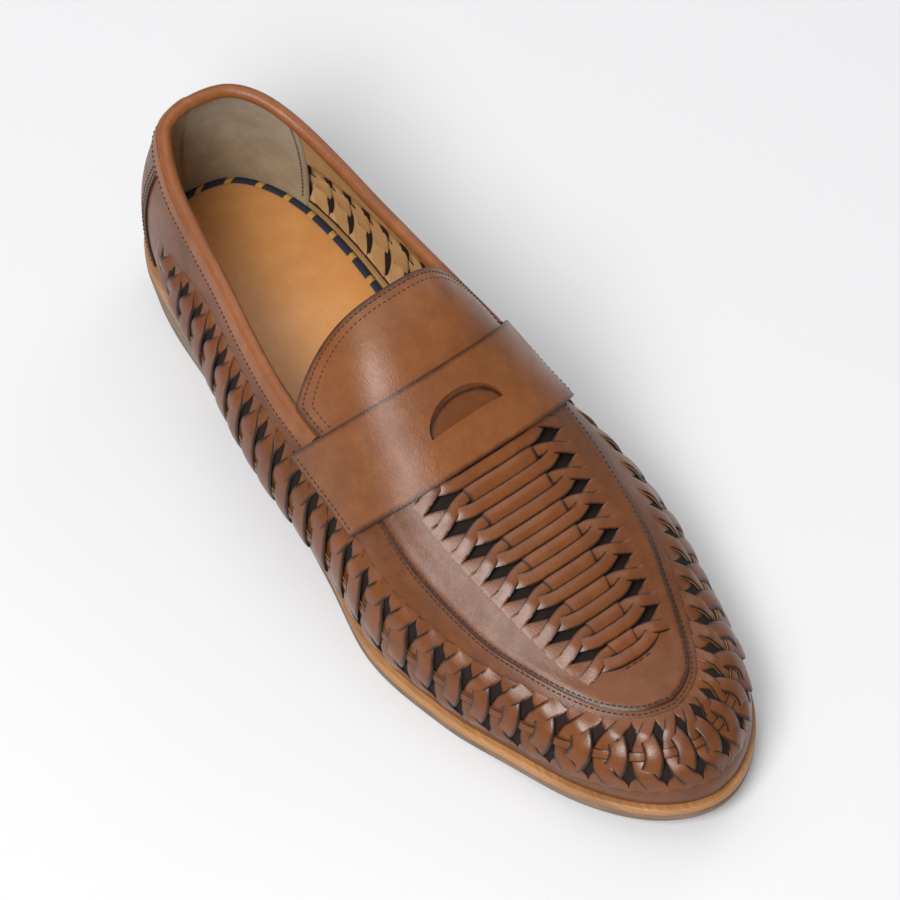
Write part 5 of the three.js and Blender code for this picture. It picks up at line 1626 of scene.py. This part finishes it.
@dataclass
class Ladder:
    """Plaited window in the apron: rungs that cross at both ends over one broad panel."""

    shop: Workshop
    centre: float = 4.5
    start: float = 181.0
    pitch: float = 9.05
    rungs: int = 8
    width: float = 43.0
    end_width: float = 22.0
    root: float = 7.5
    root_width: float = 0.53
    relief: float = 1.05
    thickness: float = 0.85
    overlap: float = 2.4
    bow: float = 2.2
    depth: float = 2.6
    camber: float = 0.25
    width_jitter: float = 0.025
    narrowing: float = 1.4
    front_margin: float = 2.6
    nose: float = 7.0

    def half(self, y: Array) -> Array:
        """Return the distance from the middle to the gaps at distance y from the back."""
        share = (np.asarray(y, float) - self.start) / (self.pitch * self.rungs)
        return (self.width + (self.end_width - self.width) * np.maximum(share, 0) ** self.narrowing) / 2

    def reach(self, y: Array) -> Array:
        """Return the half width of the window at distance y from the back, 0 outside it."""
        front = self.start + self.pitch * (self.rungs - 0.5) + self.front_margin
        nose = np.sqrt(np.clip((front - y) / self.nose, 0, 1))
        return (self.half(y) + self.root) * nose * (y > self.start - self.pitch * 0.9)

    def place(self, count: Array, x: Array, height: Array) -> tuple[Array, Array]:
        """Return points and normals over the apron.

        Args:
            count: Rungs from the first gap row.
            x: Distance from the middle, as a share of the window's half width.
            height: Height above the apron's face.

        Returns:
            Points and outward normals.
        """
        last = self.shop.last
        y = self.start + self.pitch * count
        side, q, t = last.under(self.centre + x * (self.half(y) + self.root), y)
        return last.skin(side, q, t, last.apron_step + height), last.normal(side, q, t)

    def bowed(self, x: Array) -> Array:
        """Return how far ahead, in rungs, a rung lies at a share of the half width."""
        return self.bow / self.pitch * np.clip(1 - x * x, 0, 1)

    def build(self) -> None:
        """Build and dress the rungs, the panel and the near-black sheet of painted shade."""
        self.shop.finish(self.plait(), "upper_leather", STRIP, (), 50)
        self.shop.finish(self.panel(), "upper_leather", STRIP, (), 60)
        self.shop.finish(self.shade_sheet(), "upper_leather", (Finish.SHADE,))

    def plait(self) -> Piece:
        """Build the rungs."""
        crossing = (np.arange(-1, self.rungs) + 0.5)[:, None]
        half = self.half(self.start + self.pitch * crossing) + self.root
        past = self.overlap / half
        u = (1 + past) * np.linspace(1, -1, 73)[None, :]
        depth = (1 - np.abs(u)) * half
        sway = smoothstep(depth, 0.0, 2 * self.root)
        out = np.clip((np.abs(u) - 1) / past, 0, 1)
        parts = []
        for root, way, heights, mid_width in (
            (-0.25, 0.5, (0.02, 0.05, 0.2, 0.8, self.relief), 0.56),
            (0.25, -0.5, (0.02, 0.6, 1.0, 0.6, -0.1), 0.5),
        ):
            height = Curve(SWAYS, heights)(sway) - ROOT_SINK * out**ROOT_CURL
            centre, normal = self.place(crossing + root + way * sway + self.bowed(u), u, height)
            jitter = np.sin(crossing * 9.17 + way)
            share = self.root_width + (mid_width - self.root_width) * sway
            width = self.pitch * share * (1 + self.width_jitter * jitter)
            ease = smoothstep(depth, 0.5, 4.0)
            parts.append(sweep(centre, normal, width, self.thickness, self.camber * sway, ease))
        return self.shop.solid("apron_rungs", parts)

    def panel(self) -> Piece:
        """Build the broad panel that runs along the middle between the rungs, with painted shade where it
        dips under them.
        """
        count = np.linspace(-1.2, self.rungs - 0.47, 140)[None, :]
        across = np.linspace(-1, 1, 21)[:, None]
        half = self.half(self.start + self.pitch * count)
        x = across * np.clip((half - 7.5) / (half + self.root), 0.12, 1)
        phase = np.cos(2 * np.pi * (count - 0.25))
        height = 0.28 + 0.5 * phase - 0.3 * np.abs(across) ** 6
        points, normal = self.place(count + self.bowed(x), x, height)
        # Darker along the two long edges, and painted shade where the panel dips under the rungs.
        rim = np.maximum(np.clip((np.abs(across) - 0.85) / 0.15, 0, 1), np.clip(-phase, 0, 1) * 0.8)
        return self.shop.sheet("apron_panel", points, normal, rim, 0.8)

    def shade_sheet(self) -> Piece:
        """Build the near-black sheet of painted shade under the ladder."""
        count, x = np.meshgrid(np.linspace(-1.4, self.rungs - 0.1, 60), np.linspace(-1.02, 1.02, 31))
        points, normal = self.place(count, x, -self.depth)
        return self.shop.sheet("apron_shade_sheet", points, normal, None, 0.5, False)


@dataclass
class Saddle:
    """Strap over the instep and the tongue behind it."""

    shop: Workshop
    rear: float = 151.0
    front: float = 178.6
    strap: float = 1.7
    lift: float = 0.6
    end_margin: float = 1.0
    tongue_rear: float = 123.0
    tongue_corner: float = 10.0
    tongue: float = 2.2
    tongue_half: float = 45.0
    moon_centre: float = 4.5
    moon_length: float = 29.0
    moon_depth: float = 8.0
    moon_station: float = 168.3
    moon_margin: float = 2.0

    def start_share(self, side: float, station: Array) -> Array:
        """Return t at which the strap starts, just above the weave."""
        last = self.shop.last
        low = np.full(station.shape, 0.05)
        high = np.full(station.shape, 0.9)
        for _ in range(24):
            t = (low + high) / 2
            q = last.section(t, side, station)
            below = last.arc(side, q, t) < last.crest_arc(side, q) + self.end_margin
            low = np.where(below, t, low)
            high = np.where(below, high, t)
        return (low + high) / 2

    def places(self, stations: Array, cols: int) -> tuple[Array, Array, Array]:
        """Return places across the foot on leaned sections, evenly spaced.

        Args:
            stations: Station of each row.
            cols: Number of columns.

        Returns:
            Side, share along and share up.
        """
        last = self.shop.last

        def across(line: Array) -> tuple[Array, Array, Array]:
            """Return side, share along and share up for places that run from 1 to -1."""
            side = np.where(line >= 0, LATERAL, MEDIAL)
            t = 1 - np.abs(line)
            return side, last.section(t, side, stations[:, None]), t

        fold = []
        for side in SIDES:
            start = self.start_share(side, stations)[:, None]
            fold.append(side * (1 - (start + (1 - start) * np.linspace(0, 1, 120))))
        line = np.concatenate([fold[0], fold[1][:, ::-1][:, 1:]], 1)
        length = run_length(last.point(*across(line)), 1)
        even = [np.interp(np.linspace(0, run[-1], cols), run, row) for run, row in zip(length, line)]
        return across(np.array(even))

    def build(self) -> None:
        """Build and dress the strap and the tongue."""
        self.band()
        self.moon_patch()
        self.tongue_panel()

    def band(self) -> None:
        """Build the strap with its half-moon slot."""
        last, shop = self.shop.last, self.shop
        rows, cols = 61, 241
        side, q, t = self.places(np.linspace(self.front, self.rear, rows), cols)
        points = last.skin(side, q, t, last.apron_step + self.lift + self.strap)
        edge = from_ends(rows)[:, None] * (self.front - self.rear) / rows
        rim = np.clip(1 - np.minimum(edge, from_ends(cols) * 0.55) / 2.0, 0, 1)
        piece = shop.sheet("saddle_strap_band", points, last.normal(side, q, t), rim, self.strap)
        self.cut_moon(piece)
        shop.round_edges(piece, 0.35, 3)
        shop.finish(piece, "strap_leather", STRAP, ("saddle_strap",))

    def cut_moon(self, piece: Piece) -> None:
        """Cut the half-moon slot through the sheet of the strap."""
        shop = self.shop
        angles = np.linspace(math.pi, 2 * math.pi, 33)
        x = self.moon_centre + self.moon_length / 2 * np.cos(angles)
        y = self.moon_station + self.moon_depth * np.sin(angles)
        bpy.ops.object.select_all(action="DESELECT")
        bpy.ops.mesh.primitive_circle_add(vertices=len(angles), fill_type="NGON", radius=1)
        cutter = bpy.context.object
        flat = np.stack([x, y, np.full_like(x, 40.0)], -1)
        cutter.data.vertices.foreach_set("co", to_frame(flat, shop.last).ravel())
        shop.edit(
            cutter,
            partial(bpy.ops.mesh.extrude_region_move, TRANSFORM_OT_translate={"value": (0, 0, 0.09)}),
            partial(bpy.ops.mesh.normals_make_consistent, inside=False),
        )
        shop.modify(piece, "BOOLEAN", operation="DIFFERENCE", object=cutter, solver="EXACT")
        bpy.data.objects.remove(cutter)

    def moon_patch(self) -> None:
        """Build the darker leather seen through the slot, with painted shade along the slot's outline."""
        last, shop = self.shop.last, self.shop
        half, depth = self.moon_length / 2, self.moon_depth
        x = self.moon_centre + (half + self.moon_margin) * np.linspace(-1, 1, 91)[None, :]
        y = self.moon_station - depth / 2 + (depth / 2 + self.moon_margin) * np.linspace(-1, 1, 41)[:, None]
        side, q, t = last.under(x, y)
        points = last.skin(side, q, t, last.apron_step + self.lift + 0.25)
        across = (x - self.moon_centre) / half
        ahead = (self.moon_station - y) / depth
        to_arc = np.abs(np.sqrt(across**2 + ahead**2) - 1) * depth
        to_line = np.where(np.abs(across) < 1, np.abs(y - self.moon_station), 9.0)
        # Painted shade: the patch is darkened along the slot's outline, where the strap's cut edge meets it.
        rim = np.clip(1.1 - np.minimum(to_arc, to_line) / 0.9, 0, 1)
        piece = shop.sheet("half_moon_patch", points, last.normal(side, q, t), rim, 0.6, False)
        shop.finish(piece, "strap_leather", (Finish.CALF,))

    @property
    def tongue_front(self) -> float:
        """Share along at which the tongue ends under the strap."""
        return self.shop.last.throat + 0.012

    def tongue_t(self, side: Array, q: Array, w: Array) -> Array:
        """Return t on the tongue at a share w of the way from the ridge to its edge by the collar."""
        last = self.shop.last
        edge = last.share(side, q, last.top_arc(side, q) + 2 * last.bead + 3 * last.gap)
        return 1 - (1 - edge) * w

    def tongue_end(self, w: Array, inset: float = 0.0) -> tuple[Array, Array, float]:
        """Return the rear edge of the tongue.

        Args:
            w: Share across, from 1 to -1.
            inset: Distance in from the edge.

        Returns:
            Side and share along at each w, and the share across that the inset leaves.
        """
        side = np.where(w >= 0, LATERAL, MEDIAL)
        left = 1 - inset / self.tongue_half
        t = self.tongue_t(side, np.full(w.shape, self.tongue_front), np.abs(w) * left)
        corner = self.tongue_corner * np.abs(w) ** 3
        return side, self.shop.last.section(t, side, self.tongue_rear + corner + inset * 0.9), left

    def tongue_panel(self) -> None:
        """Build the padded tongue."""
        last, shop = self.shop.last, self.shop
        w = np.linspace(1, -1, 161)[None, :]
        v = np.linspace(0, 1, 61)[:, None]
        side, rear, _ = self.tongue_end(w)
        q = self.tongue_front + (rear - self.tongue_front) * v
        t = self.tongue_t(side, q, np.abs(w))
        plump = 0.5 * np.sin(np.pi * np.clip((1 - v) * 1.2, 0, 1)) * (1 - np.abs(w) ** 4)
        points = last.skin(side, q, t, last.apron_step - last.gap + plump)
        rim = np.maximum(np.clip((v - 0.93) / 0.07, 0, 1), np.clip((np.abs(w) - 0.94) / 0.06, 0, 1))
        piece = shop.sheet("tongue_panel", points, last.normal(side, q, t), rim, self.tongue)
        shop.round_edges(piece, 0.8, 4)
        shop.finish(piece, "tongue_leather", STRAP, ("tongue",))


@dataclass
class Collar:
    """Rolled binding along the topline."""

    shop: Workshop
    rear: float = 151.0
    facets: int = 20
    flange_low: float = 4.6
    flange_height: float = 6.0
    counter_half: float = 0.2
    counter_lift: float = 0.75

    def end_share(self, side: float) -> float:
        """Return the share at which the binding runs under the strap."""
        last = self.shop.last
        q = np.linspace(0.3, last.throat, 400)
        p = last.point(side, q, last.share(side, q, last.top_arc(side, q)))
        lead = p[:, 1] - last.strap_tilt * (p[:, 2] - last.ridge_z(self.rear))
        return float(np.interp(self.rear + 1.0, lead, q))

    def line(self, count: int, more: float = 0.0) -> Array:
        """Return shares along the binding, from one end to the other and a little shorter or longer."""
        return np.linspace(self.end_share(LATERAL) + more, -self.end_share(MEDIAL) - more, count)

    def over_counter(self, q: Array) -> Array:
        """Return how far the counter lifts the binding."""
        return np.exp(-((q / self.counter_half) ** 4)) * self.counter_lift

    def build(self) -> None:
        """Build and dress the binding and the band below it."""
        last, shop = self.shop.last, self.shop
        q = self.line(181)
        top = last.top_arc(LATERAL, q)
        arc = top + last.bead + 0.1
        normal = last.facing(LATERAL, q, arc)
        centre = last.lay(LATERAL, q, arc, -last.wall / 2)
        up = unit(last.lay(LATERAL, q, arc + 1, 0) - last.lay(LATERAL, q, arc - 1, 0))
        angle = np.linspace(0, 2 * math.pi, self.facets + 1)[:, None, None]
        flat = 1.0 + 0.1 * np.cos(2 * angle)
        points = centre + normal * (np.cos(angle) * last.bead * flat) + up * (np.sin(angle) * last.bead)
        piece = shop.grid("collar_roll", points, points - centre)
        shop.weld(piece)
        shop.edit(piece, fill_ends)
        shop.face_out(piece)
        shop.finish(piece, "binding_leather", (Finish.BINDING,), ("collar_binding",), 60)
        self.flange(q, top)

    def flange(self, q: Array, top: Array) -> None:
        """Build the flat outer part of the binding, below the roll."""
        last, shop = self.shop.last, self.shop
        v = np.linspace(0, 1, 11)[:, None]
        arc = top - self.flange_low + self.flange_height * v
        points = last.lay(LATERAL, q, arc, 0.75 + self.over_counter(q) + 0.4 * v)
        rim = np.clip(1 - v / 0.3, 0, 1) * np.ones(arc.shape)
        piece = shop.sheet("collar_flange", points, last.facing(LATERAL, q, arc), rim, 0.8, False, 0.25)
        shop.finish(piece, "binding_leather", (Finish.BINDING,))


@dataclass
class Stitching:
    """Rows of single stitches sewn along lines on the leather."""

    shop: Workshop
    pitch: float = 1.95
    length: float = 1.5
    radius: float = 0.22
    sides: int = 6
    flatness: float = 0.8
    arch: float = 0.22
    sunk: float = 0.1
    tack_pitch: float = 2.6

    def form(self, stretch: float) -> Array:
        """Return the corners of one stitch: along, across and out."""
        angle = np.arange(self.sides) * 2 * math.pi / self.sides
        corners = []
        for at, scale in STITCH_RINGS:
            radius = self.radius * scale
            out = np.sin(angle) * radius * self.flatness + (1 - (2 * at) ** 2) * self.arch - self.sunk
            along = np.full(self.sides, at * self.length * stretch)
            corners.append(np.stack([along, np.cos(angle) * radius, out], -1))
        return np.concatenate(corners)

    def faces(self) -> Array:
        """Return the faces of one stitch."""
        sides, rings = self.sides, len(STITCH_RINGS)
        faces = []
        for ring in range(0, (rings - 1) * sides, sides):
            for s in range(sides):
                n = (s + 1) % sides
                faces.append((ring + s, ring + n, ring + sides + n, ring + sides + s))
        for base, order in ((0, -1), ((rings - 1) * sides, 1)):
            for quad in ((0, 1, 2, 3), (0, 3, 4, 5)):
                faces.append([base + corner for corner in quad][::order])
        return np.array(faces)

    def row(self, line: Array, normal: Array, pitch: float) -> Part:
        """Lay stitches along a line.

        Args:
            line: Points of the line.
            normal: Outward directions along it.
            pitch: Distance from stitch to stitch.

        Returns:
            Points, faces, rim values and material slots.
        """
        run = run_length(line)
        count = max(1, int(run[-1] / pitch))
        at = (np.arange(count) + 0.5) * run[-1] / count

        def read(table: Array, ahead: float = 0.0) -> Array:
            """Return the rows of a table at every stitch."""
            return np.stack([np.interp(at + ahead, run, column) for column in table.T], -1)[:, None]

        out = unit(read(normal))
        along = unit(read(line, 0.4) - read(line, -0.4))
        form = self.form(pitch / self.pitch)
        points = read(line) + along * form[:, :1] + np.cross(out, along) * form[:, 1:2] + out * form[:, 2:]
        faces = self.faces() + np.arange(count)[:, None, None] * len(form)
        faces = faces.reshape(-1, 4)
        return points.reshape(-1, 3), faces, np.zeros(count * len(form)), np.zeros(len(faces), int)

    def laid(self, q: Array, arc: Array, height: Array) -> Row:
        """Return a line on the last and its outward directions."""
        last = self.shop.last
        return last.lay(LATERAL, q, arc, height), last.facing(LATERAL, q, arc)

    def build(self) -> None:
        """Sew every row."""
        shop = self.shop
        rows = [*self.seam_rows(), *self.heel_rows(), *self.strap_rows(), *self.tongue_rows()]
        parts = [self.row(*row, self.pitch) for row in rows]
        ladder = Ladder(shop)
        tack = ladder.place(np.full(40, ladder.rungs + 0.35), np.linspace(-0.3, 0.3, 40), 0.15)
        parts.append(self.row(*tack, self.tack_pitch))
        shop.finish(shop.solid("stitches", parts), "upper_leather", (Finish.THREAD,), (), 60)

    def seam_rows(self) -> list[Row]:
        """Return the rows on both sides of the apron's seam and below the collar."""
        last = self.shop.last
        q = np.linspace(last.throat + 0.03, 2 - last.throat - 0.03, 600)
        seam = last.seam_arc(LATERAL, q)
        out = [self.laid(q, seam + 1.2, last.apron_step + 0.3), self.laid(q, seam - 1.15, 0.04)]
        collar = Collar(self.shop)
        q = collar.line(700, -0.005)
        out.append(self.laid(q, last.top_arc(LATERAL, q) - 3.4, 0.85 + collar.over_counter(q)))
        return out

    def heel_rows(self) -> list[Row]:
        """Return the rows at the ends of the counter and of the heel lining."""
        last, leather = self.shop.last, UpperLeather(self.shop)
        out = []
        for sign in SIDES:
            for inset in (1.4, 3.6):
                out.append(self.laid(*leather.counter_place(sign, np.linspace(0.02, 0.9, 90), inset), 1.0))
        for sign in SIDES:
            q = np.full(60, sign * (Sock(self.shop).lining_reach - 0.006))
            arc = np.linspace(8.0, float(last.top_arc(LATERAL, q)[0]) - 1.0, 60)
            line, normal = self.laid(q, arc, -last.wall - 1.0)
            out.append((line, -normal))
        return out

    def strap_rows(self) -> list[Row]:
        """Return the rows at the two ends of the strap."""
        last, saddle = self.shop.last, Saddle(self.shop)
        side, q, t = saddle.places(np.linspace(saddle.front - 1.5, saddle.rear + 1.5, 60), 241)
        height = last.apron_step + saddle.lift + saddle.strap
        out = []
        for column in (5, 235):
            at = side[:, column], q[:, column], t[:, column]
            out.append((last.skin(*at, height), last.normal(*at)))
        return out

    def tongue_rows(self) -> list[Row]:
        """Return the two rows along the tongue's rear edge and sides."""
        last, saddle = self.shop.last, Saddle(self.shop)
        height = last.apron_step - last.gap + 0.1
        w = np.linspace(1, -1, 300)
        out = []
        for inset in (2.0, 4.6):
            side, rear, left = saddle.tongue_end(w, inset)
            lines = [(side, rear, np.abs(w) * left)]
            for edge, end in ((LATERAL, 0), (MEDIAL, -1)):
                lines.append((edge, np.linspace(rear[end], saddle.tongue_front, 80), left))
            for side, q, share in lines:
                t = saddle.tongue_t(side, q, share)
                out.append((last.skin(side, q, t, height), last.normal(side, q, t)))
        return out


@dataclass
class Studio:
    """Pale floor, soft light and the camera of the photograph."""

    azimuth: float = 142.156
    elevation: float = 55.123
    distance: float = 1627.0
    target: tuple[float, float, float] = (0.0, 115.0, 20.0)
    lens: float = 195.0
    shift: tuple[float, float] = (0.006, 0.031)

    def build(self) -> None:
        """Set up floor, lights and camera."""
        self.floor()
        self.lights()
        self.camera()

    def floor(self) -> None:
        """Make the floor."""
        bpy.ops.object.select_all(action="DESELECT")
        bpy.ops.mesh.primitive_plane_add(size=12, location=(0, 0, -0.0002))
        floor = bpy.context.object
        floor.name = "floor"
        look = Look("floor_paper")
        paper = {"Base Color": (0.67, 0.67, 0.675, 1), "Roughness": 0.9, "Specular IOR Level": 0.1}
        glow = {"Emission Color": (0.95, 0.96, 1.0, 1), "Emission Strength": 0.12}
        look.put(look.surface, {**paper, **glow})
        floor.data.materials.append(look.material)

    @staticmethod
    def stand(thing: bpy.types.ID, place: Vector, aim: Vector) -> Piece:
        """Put a light or camera at a place and turn it along its aim."""
        stood = bpy.data.objects.new(thing.name, thing)
        stood.location = place
        stood.rotation_mode = "QUATERNION"
        stood.rotation_quaternion = aim.to_track_quat("-Z", "Y")
        bpy.context.scene.collection.objects.link(stood)
        return stood

    def lights(self) -> None:
        """Make the soft lights and the pale surroundings."""
        scene = bpy.context.scene
        scene.view_settings.view_transform = "Standard"
        scene.world = bpy.data.worlds.new("studio")
        scene.world.use_nodes = True
        sky = scene.world.node_tree.nodes["Background"].inputs
        sky[0].default_value = (0.97, 0.98, 1.0, 1)
        sky[1].default_value = 0.25
        for name, place, size, power in (
            ("key", (1.02, 0.64, 1.42), 0.75, 30.0),
            ("top", (-0.1, -0.35, 1.6), 1.5, 9.5),
            ("side", (-1.3, -0.4, 0.9), 0.7, 3.0),
        ):
            lamp = bpy.data.lights.new(name, "AREA")
            lamp.energy = power
            lamp.size = size
            self.stand(lamp, Vector(place), Vector((0, 0.1, 0.03)) - Vector(place))

    def camera(self) -> None:
        """Put the camera where the photograph was taken from."""
        a, e = math.radians(self.azimuth), math.radians(self.elevation)
        back = Vector((math.sin(a) * math.cos(e), -math.cos(a) * math.cos(e), math.sin(e)))
        data = bpy.data.cameras.new("camera")
        data.lens = self.lens
        data.sensor_width = 36
        data.shift_x, data.shift_y = self.shift
        data.clip_start, data.clip_end = 0.05, 50
        bpy.context.scene.camera = self.stand(data, (Vector(self.target) + back * self.distance) * MM, -back)


def main() -> None:
    """Load the frame and build every part of the shoe in order."""
    logging.basicConfig(level=logging.INFO, format="%(message)s")
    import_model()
    shop = Workshop(Last(), Dresser())
    for part in (Sole, Sock, UpperLeather, SideWeave, Ladder, Saddle, Collar, Stitching):
        part(shop).build()
    Studio().build()
    bpy.context.view_layer.update()
    LOG.info("%d pieces", shop.count)


if __name__ == "__main__":
    main()
